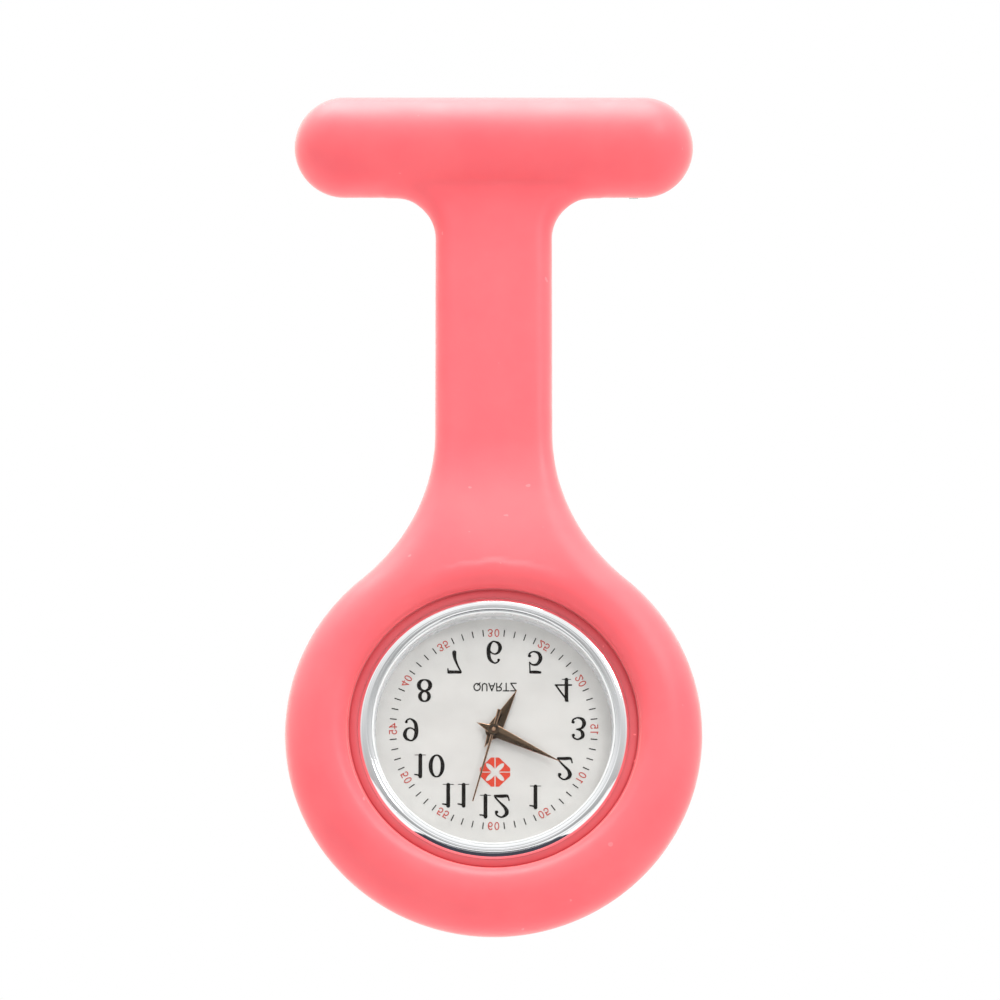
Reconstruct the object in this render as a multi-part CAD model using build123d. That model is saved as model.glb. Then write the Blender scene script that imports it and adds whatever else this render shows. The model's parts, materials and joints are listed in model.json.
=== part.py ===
from build123d import *

import os
from math import cos, radians, sin, sqrt

# Fob watch: a quartz watch head in a moulded silicone holder that hangs from a bar with a brooch pin.
#
# Millimetres, as the watch is worn: +Z up, the dial facing -Y, +X to the viewer's right.  The origin is the
# middle of the brooch needle, behind the bar.  The dial is printed upside down for the wearer and runs
# mirrored: 12 is at the bottom, 3 on the +X side.
#
# Pieces of the watch head are drawn in the head's own frame, then placed: y = 0 is the front of the bezel
# and +y goes back.  Pieces of the movement count their depth from the back of the dial.  Every piece is
# one node, written to parts/NAME.step.

# ---------------------------------------------------------------- driving dimensions: the holder
BAR_LENGTH = 40.6
BAR_RADIUS = 5.1
BAR_BACK = 4.2  # from the mid-plane to the bar's flat back
STRAP_HALF_WIDTH = 5.9
STRAP_THICKNESS = 4.4
STRAP_EDGE = 1.7
BAR_CORNER = 4.8  # radius between the bar and the strap
RING_RADIUS = 20.7
RING_FRONT = 4.75  # from the mid-plane to the front crest
RING_CREST_RADIUS = 16.7
RING_BACK = 4.2
RING_BACK_EDGE = 15.7  # where the flat back ends
RING_WIDEST = -0.8  # in front of the mid-plane
FLARE_RADIUS = 21.0  # between the strap and the ring
NECK_FRONT = 4.7
NECK_BACK = 4.15
MID_Y = -6.6  # the moulding's mid-plane
DIAL_Z = -62.5  # the dial's axis
LIP_RADIUS = 14.4  # the crease round the front opening
LIP_EDGE = 13.52  # the lip's edge, on the bezel
BACK_WINDOW = 10.4
FIT_GAP = 0.02  # between pieces of two bodies that only rest on each other
CROWN_POCKET_RADIUS = 2.1
CROWN_POCKET_END = 17.2

# ---------------------------------------------------------------- driving dimensions: the brooch pin
PLATE_LENGTH = 32.0
PLATE_WIDTH = 5.0
PLATE_THICKNESS = 0.6
PLATE_BACK = MID_Y + BAR_BACK
NEEDLE_RADIUS = 0.40
NEEDLE_TIP_RADIUS = 0.30  # where the long taper meets the point
NEEDLE_SHOULDER = 10.8
NEEDLE_TIP = 15.2
NEEDLE_POINT = 1.2
HINGE_X = -13.2
HINGE_RADIUS = 1.15
RIVET_RADIUS = 0.5
CATCH_X = 12.7
CATCH_SLOT = 0.92
CATCH_ROTOR_RADIUS = 1.10
CATCH_ROTOR_BORE = 0.50

# ---------------------------------------------------------------- driving dimensions: the watch head
HEAD_FRONT_Y = -9.9  # the bezel's front in the row's frame
CASE_RADIUS = 13.8
BEZEL_RADIUS = 13.5
BEZEL_CREST = 12.85
CRYSTAL_SEAT = 12.08
CRYSTAL_RADIUS = 11.85
CRYSTAL_THICKNESS = 0.7
DIAL_VIEW_RADIUS = 11.70
DIAL_RADIUS = 12.1
DIAL_FRONT = 1.8
DIAL_THICKNESS = 0.4
DIAL_BACK = DIAL_FRONT + DIAL_THICKNESS
CASE_BORE = 12.15
BACK_SEAT_RADIUS = 12.7
BACK_SEAT = 4.95
CASE_BACK = 5.75
HEAD_BACK = 6.25
STEM_DEPTH = 1.1  # the stem's axis, behind the dial's back
STEM_RADIUS = 0.4

# The hands' angles, in degrees from +X towards +Z.
HOUR_ANGLE = 61.5
MINUTE_ANGLE = -26.0
SECOND_ANGLE = -105.6

# ---------------------------------------------------------------- driving dimensions: the movement
PLATE_RADIUS = 10.0
PLATE_WALL = 9.5
WEB_FRONT = 0.95  # the recess for the motion work ends here
WEB_BACK = 1.3
BRIDGE_FRONT = 2.95
BRIDGE_BACK = 3.3
PIVOT = 0.10
PIVOT_HOLE = 0.12
SECOND_ARBOR = 0.125
CANNON_BORE = 0.145
CANNON_RADIUS = 0.35
HOUR_BORE = 0.38
HOUR_TUBE = 0.58
BATTERY_RADIUS = 3.4
BATTERY_AT = (0.0, 6.05)
BRIDGE_POSTS = [(-5.9, -0.2), (-2.9, 2.4), (6.3, -1.9)]
CORE_POSTS = [(-2.9, -6.9), (5.2, -6.9)]
DIAL_FEET = [(-8.6, 2.2), (7.4, -5.4)]

# Teeth.  A pair in mesh shares one module, and stands module * (teeth + teeth) / 2 apart.
CENTRE_TEETH, THIRD_PINION_TEETH, CENTRE_MODULE = 64, 8, 0.075
THIRD_TEETH, FOURTH_PINION_TEETH = 60, 8
FOURTH_TEETH, FIFTH_PINION_TEETH, FOURTH_MODULE = 60, 12, 0.075
FIFTH_TEETH, ROTOR_PINION_TEETH, FIFTH_MODULE = 48, 8, 0.07
CANNON_TEETH, MINUTE_TEETH, MOTION_MODULE = 10, 30, 0.11
HOUR_TEETH, MINUTE_PINION_TEETH = 32, 8
THIRD_ANGLE, FIFTH_ANGLE, ROTOR_ANGLE, MINUTE_WHEEL_ANGLE = 205.0, -40.0, -25.0, -60.0
ADDENDUM, DEDENDUM = 0.9, 1.15  # in modules
TIP_HALF, ROOT_HALF = 0.13, 0.36  # half widths of a tooth, as shares of the pitch


def distance(module, teeth_a, teeth_b):
    """Centre distance of two gears in mesh."""
    return module * (teeth_a + teeth_b) / 2


def polar(length, angle, start=(0.0, 0.0)):
    """The (x, z) point at a length and an angle in degrees from start."""
    return (start[0] + length * cos(radians(angle)), start[1] + length * sin(radians(angle)))


CENTRE_AT = (0.0, 0.0)
THIRD_DISTANCE = distance(CENTRE_MODULE, CENTRE_TEETH, THIRD_PINION_TEETH)
THIRD_MODULE = 2 * THIRD_DISTANCE / (THIRD_TEETH + FOURTH_PINION_TEETH)
THIRD_AT = polar(THIRD_DISTANCE, THIRD_ANGLE)
FIFTH_AT = polar(distance(FOURTH_MODULE, FOURTH_TEETH, FIFTH_PINION_TEETH), FIFTH_ANGLE)
ROTOR_AT = polar(distance(FIFTH_MODULE, FIFTH_TEETH, ROTOR_PINION_TEETH), ROTOR_ANGLE, FIFTH_AT)
MINUTE_WHEEL_AT = polar(distance(MOTION_MODULE, CANNON_TEETH, MINUTE_TEETH), MINUTE_WHEEL_ANGLE)


# ---------------------------------------------------------------- helpers
def disc(radius, y0, y1, at=CENTRE_AT):
    """A cylinder along Y from y0 to y1, with its axis at (x, z)."""
    return Pos(at[0], (y0 + y1) / 2, at[1]) * Rot(90, 0, 0) * Cylinder(radius, y1 - y0)


def washer(outer, inner, y0, y1, at=CENTRE_AT):
    """A flat ring along Y."""
    return disc(outer, y0, y1, at) - disc(inner, y0 - 1, y1 + 1, at)


def rod_x(radius, x0, x1, y=0.0, z=0.0):
    """A cylinder along X."""
    return Pos((x0 + x1) / 2, y, z) * Rot(0, 90, 0) * Cylinder(radius, x1 - x0)


def block(x0, x1, y0, y1, z0, z1):
    """A box between two corners."""
    return Pos((x0 + x1) / 2, (y0 + y1) / 2, (z0 + z1) / 2) * Box(x1 - x0, y1 - y0, z1 - z0)


def lathe(points):
    """Turns a closed outline of (radius, y) points about the Y axis."""
    return revolve(make_face(Polyline(*points, close=True)), Axis.Y)


def slab(face, y0, y1):
    """Extrudes a face drawn in (x, z) from y0 to y1."""
    return extrude(Plane((0, y1, 0), x_dir=(1, 0, 0), z_dir=(0, -1, 0)) * face, y1 - y0)


def band(points, radius):
    """The outline of a tight band round equal circles at the points, as a face in (x, z)."""
    return make_hull(ShapeList([e for x, z in points for e in (Pos(x, z) * Circle(radius)).edges()]))


def place_movement(shape):
    """Places a piece whose depth counts from the back of the dial."""
    return Pos(0, HEAD_FRONT_Y + DIAL_BACK, DIAL_Z) * shape


def place_head(shape):
    """Places a piece of the watch head."""
    return Pos(0, HEAD_FRONT_Y, DIAL_Z) * shape


# ---------------------------------------------------------------- gears
def gear_face(teeth, module, phase):
    """A gear's outline, with a tooth centred at the phase angle in degrees."""
    pitch_radius = module * teeth / 2
    root, tip = pitch_radius - DEDENDUM * module, pitch_radius + ADDENDUM * module
    corners = ((root, -ROOT_HALF), (tip, -TIP_HALF), (tip, TIP_HALF), (root, ROOT_HALF))
    pitch = 360.0 / teeth
    points = [polar(radius, phase + (n + share) * pitch) for n in range(teeth) for radius, share in corners]
    return make_face(Polyline(*points, close=True))


def gear(teeth, module, phase, y0, y1, at=CENTRE_AT):
    """A gear along Y from y0 to y1."""
    return Pos(at[0], 0, at[1]) * slab(gear_face(teeth, module, phase), y0, y1)


def meshed_phase(phase_a, teeth_a, direction, teeth_b):
    """The phase of gear B that puts its gaps on the teeth of gear A, when B lies in that direction from A."""
    share = ((direction - phase_a) * teeth_a / 360.0) % 1.0
    return direction + 180.0 - (0.5 - share) * 360.0 / teeth_b


def spokes(outer, inner, y0, y1, at=CENTRE_AT, count=4):
    """Round windows that leave spokes in a wheel."""
    middle, radius = (outer + inner) / 2, (outer - inner) / 2
    cuts = [disc(radius, y0 - 1, y1 + 1, polar(middle, 45 + n * 360 / count, at)) for n in range(count)]
    return Part() + cuts


# ---------------------------------------------------------------- the holder
def ring_section():
    """The holder ring's section as (radius, y) from the mid-plane, on one side of the dial's axis."""
    head_back = HEAD_FRONT_Y + HEAD_BACK - MID_Y + FIT_GAP
    lip = HEAD_FRONT_Y + 0.42 - MID_Y
    shoulder = HEAD_FRONT_Y + 0.93 - MID_Y
    seat = CASE_RADIUS + FIT_GAP
    lip_top = (LIP_RADIUS, lip - 0.55)
    crest, back = (RING_CREST_RADIUS, -RING_FRONT), (RING_BACK_EDGE, RING_BACK)
    front_axes = (RING_RADIUS - RING_CREST_RADIUS, RING_FRONT + RING_WIDEST)
    back_axes = (RING_RADIUS - RING_BACK_EDGE, RING_BACK - RING_WIDEST)
    sides = [
        Polyline((BACK_WINDOW, head_back), (seat, head_back), (seat, shoulder), (LIP_EDGE, shoulder - 0.28)),
        Polyline((LIP_EDGE, shoulder - 0.28), (LIP_EDGE, lip), (LIP_RADIUS - 0.15, lip + 0.05), lip_top),
        Spline(lip_top, crest, tangents=[(0.35, -1.0), (1.0, 0.0)]),
        EllipticalCenterArc((RING_CREST_RADIUS, RING_WIDEST), *front_axes, start_angle=270, arc_size=90),
        EllipticalCenterArc((RING_BACK_EDGE, RING_WIDEST), *back_axes, start_angle=0, arc_size=90),
        Polyline(back, (BACK_WINDOW + 0.5, RING_BACK), (BACK_WINDOW, RING_BACK - 0.5)),
        Polyline((BACK_WINDOW, RING_BACK - 0.5), (BACK_WINDOW, head_back)),
    ]
    return make_face([edge for side in sides for edge in side.edges()])


def neck_section(height):
    """The neck's half width, its reach before and behind the mid-plane, and its share of the ring's shape."""
    reach = STRAP_HALF_WIDTH + FLARE_RADIUS
    top = sqrt((RING_RADIUS + FLARE_RADIUS) ** 2 - reach**2)
    low = top * RING_RADIUS / (RING_RADIUS + FLARE_RADIUS)
    share = min(1.0, max(0.0, (top - height) / (top - low)))
    half_width = reach - sqrt(FLARE_RADIUS**2 - (share * (top - low)) ** 2)
    ease = share * share * (3 - 2 * share)
    half = STRAP_THICKNESS / 2
    return half_width, half + (NECK_FRONT - half) * ease, half + (NECK_BACK - half) * ease, ease


def holder():
    """The silicone moulding: a bar with a pin recess, a strap, and a ring round the watch head."""
    bar = rod_x(BAR_RADIUS, -BAR_LENGTH / 2 + BAR_RADIUS, BAR_LENGTH / 2 - BAR_RADIUS, MID_Y)
    for side in (-1, 1):
        bar += Pos(side * (BAR_LENGTH / 2 - BAR_RADIUS), MID_Y, 0) * Sphere(BAR_RADIUS)
    bar -= block(-30, 30, PLATE_BACK, PLATE_BACK + 9, -9, 9)
    top = sqrt((RING_RADIUS + FLARE_RADIUS) ** 2 - (STRAP_HALF_WIDTH + FLARE_RADIUS) ** 2)
    corner = STRAP_HALF_WIDTH + BAR_CORNER
    strap_top, strap_end = -BAR_RADIUS - BAR_CORNER, DIAL_Z + top
    outline = Rectangle(2 * corner, BAR_RADIUS + BAR_CORNER - 1.5, align=(Align.CENTER, Align.MIN))
    outline = Pos(0, strap_top) * outline
    for side in (-1, 1):
        outline -= Pos(side * corner, strap_top) * Circle(BAR_CORNER)
    middle = (strap_top + strap_end) / 2
    outline += Pos(0, middle) * Rectangle(2 * STRAP_HALF_WIDTH, strap_top - strap_end)
    strap = slab(outline, MID_Y - STRAP_THICKNESS / 2, MID_Y + STRAP_THICKNESS / 2)
    long_edges = [e for e in strap.edges().filter_by(Axis.Y, reverse=True) if e.center().Z < -1.6]
    strap = fillet([e for e in long_edges if e.center().Z > strap_end + 0.01], STRAP_EDGE)
    sections = []
    for height in (top, 29.4, 27, 24.4, 21.8, 19.2, 16.6):
        half_width, front, behind, ease = neck_section(height)
        thickness = front + behind
        edge = STRAP_EDGE + (thickness * 0.485 - STRAP_EDGE) * ease
        plane = Plane((0, MID_Y + (behind - front) / 2, DIAL_Z + height), x_dir=(1, 0, 0), z_dir=(0, 0, 1))
        sections.append(plane * RectangleRounded(2 * half_width, thickness, edge))
    neck = loft(sections)
    body = bar + strap + neck
    body -= Pos(0, MID_Y, DIAL_Z) * disc(CASE_RADIUS + 1.2, -9, 9)
    body += Pos(0, MID_Y, DIAL_Z) * revolve(ring_section(), Axis.Y)
    body -= slab(pin_plate_outline(), PLATE_BACK - PLATE_THICKNESS, PLATE_BACK + 1)
    body -= rod_x(CROWN_POCKET_RADIUS, CASE_RADIUS - 0.5, CROWN_POCKET_END, MID_Y, DIAL_Z)
    return body


# ---------------------------------------------------------------- the brooch pin
def pin_plate_outline():
    half = (PLATE_LENGTH - PLATE_WIDTH) / 2
    return band([(-half, 0), (half, 0)], PLATE_WIDTH / 2)


def ear(z0, z1):
    """One ear of the hinge, from the plate to round the rivet."""
    shape = extrude(Pos(0, 0, z0) * band([(HINGE_X, 0), (HINGE_X, PLATE_BACK + 0.9)], HINGE_RADIUS), z1 - z0)
    return shape - block(-30, 30, PLATE_BACK - 9, PLATE_BACK, -9, 9)


def pin_plate():
    """The pressed plate, with the hinge's ears and the fixed shell of the catch."""
    plate = slab(pin_plate_outline(), PLATE_BACK - PLATE_THICKNESS, PLATE_BACK)
    plate += ear(0.56, 1.16)
    plate += ear(-1.16, -0.56)
    plate -= Pos(HINGE_X, 0, 0) * Cylinder(RIVET_RADIUS, 6)
    shell = rod_x(1.75, CATCH_X - 1.1, CATCH_X + 1.1)
    shell += block(CATCH_X - 1.1, CATCH_X + 1.1, PLATE_BACK, -1.0, -0.9, 0.9)
    shell -= rod_x(CATCH_ROTOR_RADIUS + 0.04, CATCH_X - 2, CATCH_X + 2)
    shell -= block(CATCH_X - 2, CATCH_X + 2, 0, 4, -CATCH_SLOT / 2, CATCH_SLOT / 2)
    return plate + shell


def hinge_rivet():
    rivet = Pos(HINGE_X, 0, 0) * Cylinder(RIVET_RADIUS, 2.32)
    for side in (-1, 1):
        rivet += Pos(HINGE_X, 0, side * (1.16 + 0.14)) * Cylinder(0.9, 0.28)
    return rivet


def pin_needle():
    """The needle, with an eye on the rivet and a thin sharp end that lies in the catch."""
    eye = Pos(HINGE_X, 0, 0) * (Cylinder(1.1, 1.0) - Cylinder(RIVET_RADIUS + 0.03, 3))
    shank = rod_x(NEEDLE_RADIUS, HINGE_X + 0.8, NEEDLE_SHOULDER)
    taper_length = NEEDLE_TIP - NEEDLE_POINT - NEEDLE_SHOULDER
    taper = Pos(NEEDLE_SHOULDER + taper_length / 2, 0, 0) * Rot(0, 90, 0)
    taper *= Cone(NEEDLE_RADIUS, NEEDLE_TIP_RADIUS, taper_length)
    point = Pos(NEEDLE_TIP - NEEDLE_POINT / 2, 0, 0) * Rot(0, 90, 0)
    point *= Cone(NEEDLE_TIP_RADIUS, 0.03, NEEDLE_POINT)
    return eye + shank + taper + point


def safety_catch():
    """The turning tube of the catch: slotted for the needle, with a thumb tab on its outer flange."""
    tube = rod_x(CATCH_ROTOR_RADIUS, CATCH_X - 1.6, CATCH_X + 1.6)
    tube += rod_x(1.55, CATCH_X - 1.6, CATCH_X - 1.14)
    tube += rod_x(1.55, CATCH_X + 1.14, CATCH_X + 1.6)
    tube += block(CATCH_X + 1.14, CATCH_X + 1.6, -0.45, 0.45, -2.6, -0.8)
    tube += rod_x(0.45, CATCH_X + 1.14, CATCH_X + 2.1, 0, -2.6)
    tube -= rod_x(CATCH_ROTOR_BORE, CATCH_X - 3, CATCH_X + 3)
    return tube - block(CATCH_X - 3, CATCH_X + 3, 0, 4, -CATCH_SLOT / 2, CATCH_SLOT / 2)


# ---------------------------------------------------------------- the case
def case():
    """The one-piece case: a polished bezel in front, a bore for the movement, a seat for the back."""
    inner_front, outer_front = (CRYSTAL_SEAT, 0.12), (BEZEL_RADIUS, 0.42)
    sides = [
        ThreePointArc(inner_front, (CRYSTAL_SEAT + 0.3, 0.02), (BEZEL_CREST, 0.0)),
        ThreePointArc((BEZEL_CREST, 0.0), (BEZEL_RADIUS - 0.2, 0.13), outer_front),
        Polyline(
            outer_front, (BEZEL_RADIUS, 0.66), (CASE_RADIUS, 0.95), (CASE_RADIUS, CASE_BACK - 0.15),
            (CASE_RADIUS - 0.15, CASE_BACK), (BACK_SEAT_RADIUS, CASE_BACK), (BACK_SEAT_RADIUS, BACK_SEAT),
            (CASE_BORE, BACK_SEAT), (CASE_BORE, 1.2), (11.75, 1.2), (11.75, 1.0), (CRYSTAL_SEAT, 1.0),
            inner_front,
        ),
    ]
    body = revolve(make_face([edge for side in sides for edge in side.edges()]), Axis.Y)
    return body - rod_x(0.75, 11, 15, DIAL_BACK + STEM_DEPTH)


def crystal():
    front = 0.15
    back = front + CRYSTAL_THICKNESS
    edge = CRYSTAL_RADIUS - 0.12
    outline = [(0, front), (edge, front), (CRYSTAL_RADIUS, front + 0.12), (CRYSTAL_RADIUS, back), (0, back)]
    return lathe(outline)


def crystal_gasket():
    """An L-shaped ring round the crystal and under its edge."""
    inner, back = 11.78, 0.15 + CRYSTAL_THICKNESS
    outline = [(CRYSTAL_SEAT, 0.2), (CRYSTAL_SEAT, 1.0), (inner, 1.0), (inner, back)]
    return lathe(outline + [(CRYSTAL_RADIUS, back), (CRYSTAL_RADIUS, 0.2)])


def dial_spacer_ring():
    """The ring between the case's shoulder and the dial's edge, with a slightly conical bore."""
    outline = [(DIAL_RADIUS, 1.2), (11.76, 1.2), (DIAL_VIEW_RADIUS, DIAL_FRONT), (DIAL_RADIUS, DIAL_FRONT)]
    return lathe(outline)


def caseback():
    """The snap-on back: a flange on the case's rim and a skirt inside it."""
    skirt = BACK_SEAT_RADIUS - 0.02
    outline = [(0, CASE_BACK), (12.25, CASE_BACK), (12.25, 5.35), (skirt - 0.1, 5.35), (skirt, 5.45)]
    outline += [(skirt, CASE_BACK), (13.5, CASE_BACK), (13.5, 5.95), (13.2, HEAD_BACK), (0, HEAD_BACK)]
    body = lathe(outline)
    body -= washer(9.6, 9.2, HEAD_BACK - 0.08, HEAD_BACK + 1)
    return body - block(13.05, 14, 5.75, 6.05, -1.2, 1.2)


def crown_tube():
    return rod_x(0.75, 12.2, 14.4) - rod_x(STEM_RADIUS + 0.05, 10, 16)


# ---------------------------------------------------------------- the dial and hands
def dial():
    """The dial plate with its centre hole and two feet."""
    plate = washer(DIAL_RADIUS, 0.66, -DIAL_THICKNESS, 0)
    for foot in DIAL_FEET:
        plate += disc(0.35, -0.1, 0.9, foot)
    return plate


def dauphine(length, tail, width, shoulder, angle, y_back, bore):
    """A faceted hand: a kite with a ridge along its middle, round a hub bored for its tube."""
    half, floor, ridge = width / 2, y_back - 0.05, y_back - 0.16
    kite = Polyline((length, 0), (shoulder, half), (-tail, 0), (shoulder, -half), close=True)
    roof = Polyline((y_back, -half), (y_back, half), (floor, half), (ridge, 0), (floor, -half), close=True)
    across = Plane((-tail - 1, 0, 0), x_dir=(0, 1, 0), z_dir=(1, 0, 0))
    hand = slab(make_face(kite), y_back - 0.2, y_back) & extrude(across * make_face(roof), length + tail + 2)
    hand += disc(bore + 0.24, y_back - 0.17, y_back)
    return Rot(0, -angle, 0) * (hand - disc(bore, y_back - 1, y_back + 1))


def second_hand():
    """A needle hand with a counterweight bar and a domed boss."""
    upper = [(7.67, 0.05), (0.3, 0.11), (-2.14, 0.17)]
    shape = Polyline(*upper, *((x, -w) for x, w in reversed(upper)), close=True)
    front = -1.22
    hand = slab(make_face(shape), front, front + 0.11)
    hand += disc(0.59, front - 0.04, front + 0.11)
    hand -= disc(SECOND_ARBOR, front - 1, front + 1)
    return Rot(0, -SECOND_ANGLE, 0) * hand


# ---------------------------------------------------------------- the motion work and the train
CANNON_PHASE = 7.0
MINUTE_WHEEL_PHASE = meshed_phase(CANNON_PHASE, CANNON_TEETH, MINUTE_WHEEL_ANGLE, MINUTE_TEETH)
HOUR_PHASE = meshed_phase(0.0, MINUTE_PINION_TEETH, MINUTE_WHEEL_ANGLE + 180.0, HOUR_TEETH)
CENTRE_PHASE = 0.0
THIRD_PINION_PHASE = meshed_phase(CENTRE_PHASE, CENTRE_TEETH, THIRD_ANGLE, THIRD_PINION_TEETH)
THIRD_PHASE = 0.0
FOURTH_PINION_PHASE = meshed_phase(THIRD_PHASE, THIRD_TEETH, THIRD_ANGLE + 180.0, FOURTH_PINION_TEETH)
FOURTH_PHASE = 0.0
FIFTH_PINION_PHASE = meshed_phase(FOURTH_PHASE, FOURTH_TEETH, FIFTH_ANGLE, FIFTH_PINION_TEETH)
FIFTH_PHASE = 0.0
ROTOR_PHASE = meshed_phase(FIFTH_PHASE, FIFTH_TEETH, ROTOR_ANGLE, ROTOR_PINION_TEETH)


def hour_wheel():
    """A thin wheel whose tube goes out through the dial and carries the hour hand."""
    wheel = gear(HOUR_TEETH, MOTION_MODULE, HOUR_PHASE, 0.2, 0.4)
    wheel += disc(HOUR_TUBE, -0.75, 0.5)
    return wheel - disc(HOUR_BORE, -2, 2)


def cannon_pinion():
    """The cannon pinion's tube, which the minute hand and the centre wheel are pressed on."""
    pinion = gear(CANNON_TEETH, MOTION_MODULE, CANNON_PHASE, 0.55, 0.85)
    pinion += disc(CANNON_RADIUS, -1.0, 1.68)
    return pinion - disc(CANNON_BORE, -3, 3)


def centre_wheel():
    wheel = gear(CENTRE_TEETH, CENTRE_MODULE, CENTRE_PHASE, 1.45, 1.6)
    return wheel - disc(CANNON_RADIUS, 0, 3) - spokes(1.95, 0.6, 1.45, 1.6)


def minute_wheel():
    """The motion work's idler: a wheel driven by the cannon pinion, a pinion that drives the hour wheel."""
    wheel = gear(MINUTE_TEETH, MOTION_MODULE, MINUTE_WHEEL_PHASE, 0.6, 0.8, MINUTE_WHEEL_AT)
    wheel += gear(MINUTE_PINION_TEETH, MOTION_MODULE, 0.0, 0.15, 0.6, MINUTE_WHEEL_AT)
    return wheel - disc(0.22, -1, 2, MINUTE_WHEEL_AT)


def arbor(at, front, back, radius=0.18):
    """An arbor with a pivot at each end, in the main plate and in the train bridge."""
    shaft = disc(radius, front + 0.12, back - 0.12, at)
    return shaft + disc(PIVOT, front - 0.25, back + 0.25, at)


def third_wheel():
    wheel = gear(THIRD_TEETH, THIRD_MODULE, THIRD_PHASE, 2.0, 2.12, THIRD_AT)
    wheel -= spokes(1.9, 0.55, 2.0, 2.12, THIRD_AT)
    wheel += gear(THIRD_PINION_TEETH, CENTRE_MODULE, THIRD_PINION_PHASE, 1.42, 2.0, THIRD_AT)
    return wheel + arbor(THIRD_AT, WEB_BACK, BRIDGE_FRONT)


def fourth_wheel():
    """The seconds wheel, whose arbor goes out through the cannon pinion to the second hand."""
    wheel = gear(FOURTH_TEETH, FOURTH_MODULE, FOURTH_PHASE, 2.45, 2.57)
    wheel -= spokes(1.8, 0.55, 2.45, 2.57)
    wheel += gear(FOURTH_PINION_TEETH, THIRD_MODULE, FOURTH_PINION_PHASE, 1.9, 2.45)
    wheel += disc(0.18, 1.75, BRIDGE_FRONT - 0.12)
    return wheel + disc(PIVOT, 2.5, BRIDGE_FRONT + 0.25) + disc(SECOND_ARBOR, -1.3, 2.0)


def fifth_wheel():
    wheel = gear(FIFTH_TEETH, FIFTH_MODULE, FIFTH_PHASE, 1.8, 1.92, FIFTH_AT)
    wheel += gear(FIFTH_PINION_TEETH, FOURTH_MODULE, FIFTH_PINION_PHASE, 2.36, 2.68, FIFTH_AT)
    return wheel + arbor(FIFTH_AT, WEB_BACK, BRIDGE_FRONT)


def rotor():
    """The stepping motor's magnet, with the pinion that drives the train."""
    body = gear(ROTOR_PINION_TEETH, FIFTH_MODULE, ROTOR_PHASE, 1.72, 2.1, ROTOR_AT)
    body += disc(0.75, 2.36, 2.84, ROTOR_AT)
    return body + arbor(ROTOR_AT, WEB_BACK, BRIDGE_FRONT, 0.16)


# ---------------------------------------------------------------- the movement's fixed pieces
def main_plate():
    """The moulded plate: motion work recess in front, battery pocket, wall and posts behind."""
    plate = disc(PLATE_RADIUS, 0, WEB_BACK)
    plate += washer(PLATE_RADIUS, PLATE_WALL, 0, 2.9)
    plate -= disc(2.1, -1, WEB_FRONT)
    plate -= disc(1.95, -1, WEB_FRONT, MINUTE_WHEEL_AT)
    plate += disc(0.2, 0.12, WEB_BACK, MINUTE_WHEEL_AT)
    plate -= disc(0.38, -1, 3)
    plate -= disc(BATTERY_RADIUS + 0.05, 0.75, 3, BATTERY_AT)
    for post in BRIDGE_POSTS:
        plate += disc(0.8, WEB_BACK, BRIDGE_FRONT, post)
        plate -= disc(0.3, BRIDGE_FRONT - 1.2, 9, post)
    for post in CORE_POSTS:
        plate += disc(0.6, WEB_BACK, 2.0, post)
        plate -= disc(0.3, WEB_BACK - 0.2, 9, post)
    for foot in DIAL_FEET:
        plate -= disc(0.37, -1, 0.95, foot)
    for at in (THIRD_AT, FIFTH_AT, ROTOR_AT):
        plate -= disc(PIVOT_HOLE, WEB_FRONT + 0.02, 3, at)
    plate -= disc(PIVOT_HOLE, WEB_FRONT - 0.2, 3, FIFTH_AT)
    plate -= rod_x(STEM_RADIUS + 0.06, 4.3, 11, STEM_DEPTH)
    return plate - block(4.3, 11, STEM_DEPTH, 3, -0.3, 0.3)


def train_bridge():
    """The plate over the train, with a jewel hole for each back pivot."""
    bridge = slab(band(BRIDGE_POSTS + [THIRD_AT, ROTOR_AT], 0.9), BRIDGE_FRONT, BRIDGE_BACK)
    for at in (CENTRE_AT, THIRD_AT, FIFTH_AT, ROTOR_AT):
        bridge -= disc(PIVOT_HOLE, 2, 4, at)
    for post in BRIDGE_POSTS:
        bridge -= disc(0.34, 2, 4, post)
    return bridge


def screw(at, seat, depth):
    """A cheese-head screw along Y, with its slot."""
    body = disc(0.3, seat - depth, seat, at) + disc(0.6, seat, seat + 0.22, at)
    return body - block(at[0] - 1, at[0] + 1, seat + 0.12, seat + 1, at[1] - 0.07, at[1] + 0.07)


def bridge_screws():
    screws = [screw(post, BRIDGE_BACK, 1.2) for post in BRIDGE_POSTS]
    return screws + [screw(post, 2.9, 1.2) for post in CORE_POSTS]


def stator():
    """The motor's soft iron: a pad round the magnet and two legs to the coil's core."""
    left, right = CORE_POSTS[0][0], CORE_POSTS[1][0]
    iron = block(left - 0.6, ROTOR_AT[0], 2.4, 2.9, -4.4, -3.3)
    iron += disc(1.3, 2.4, 2.9, ROTOR_AT)
    iron += block(left - 0.6, left + 0.6, 2.4, 2.9, -7.4, -3.3)
    iron += block(right - 0.6, right + 0.6, 2.4, 2.9, -7.4, -2.9)
    iron += block(ROTOR_AT[0], right + 0.6, 2.4, 2.9, -3.6, -2.9)
    iron -= disc(0.9, 2, 3, ROTOR_AT)
    for post in CORE_POSTS:
        iron -= disc(0.3, 2, 3, post)
    return iron


def coil_core():
    left, right = CORE_POSTS[0][0], CORE_POSTS[1][0]
    core = block(left - 0.6, right + 0.6, 2.0, 2.4, -7.3, -6.5)
    for post in CORE_POSTS:
        core -= disc(0.3, 1, 3, post)
    return core


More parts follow.
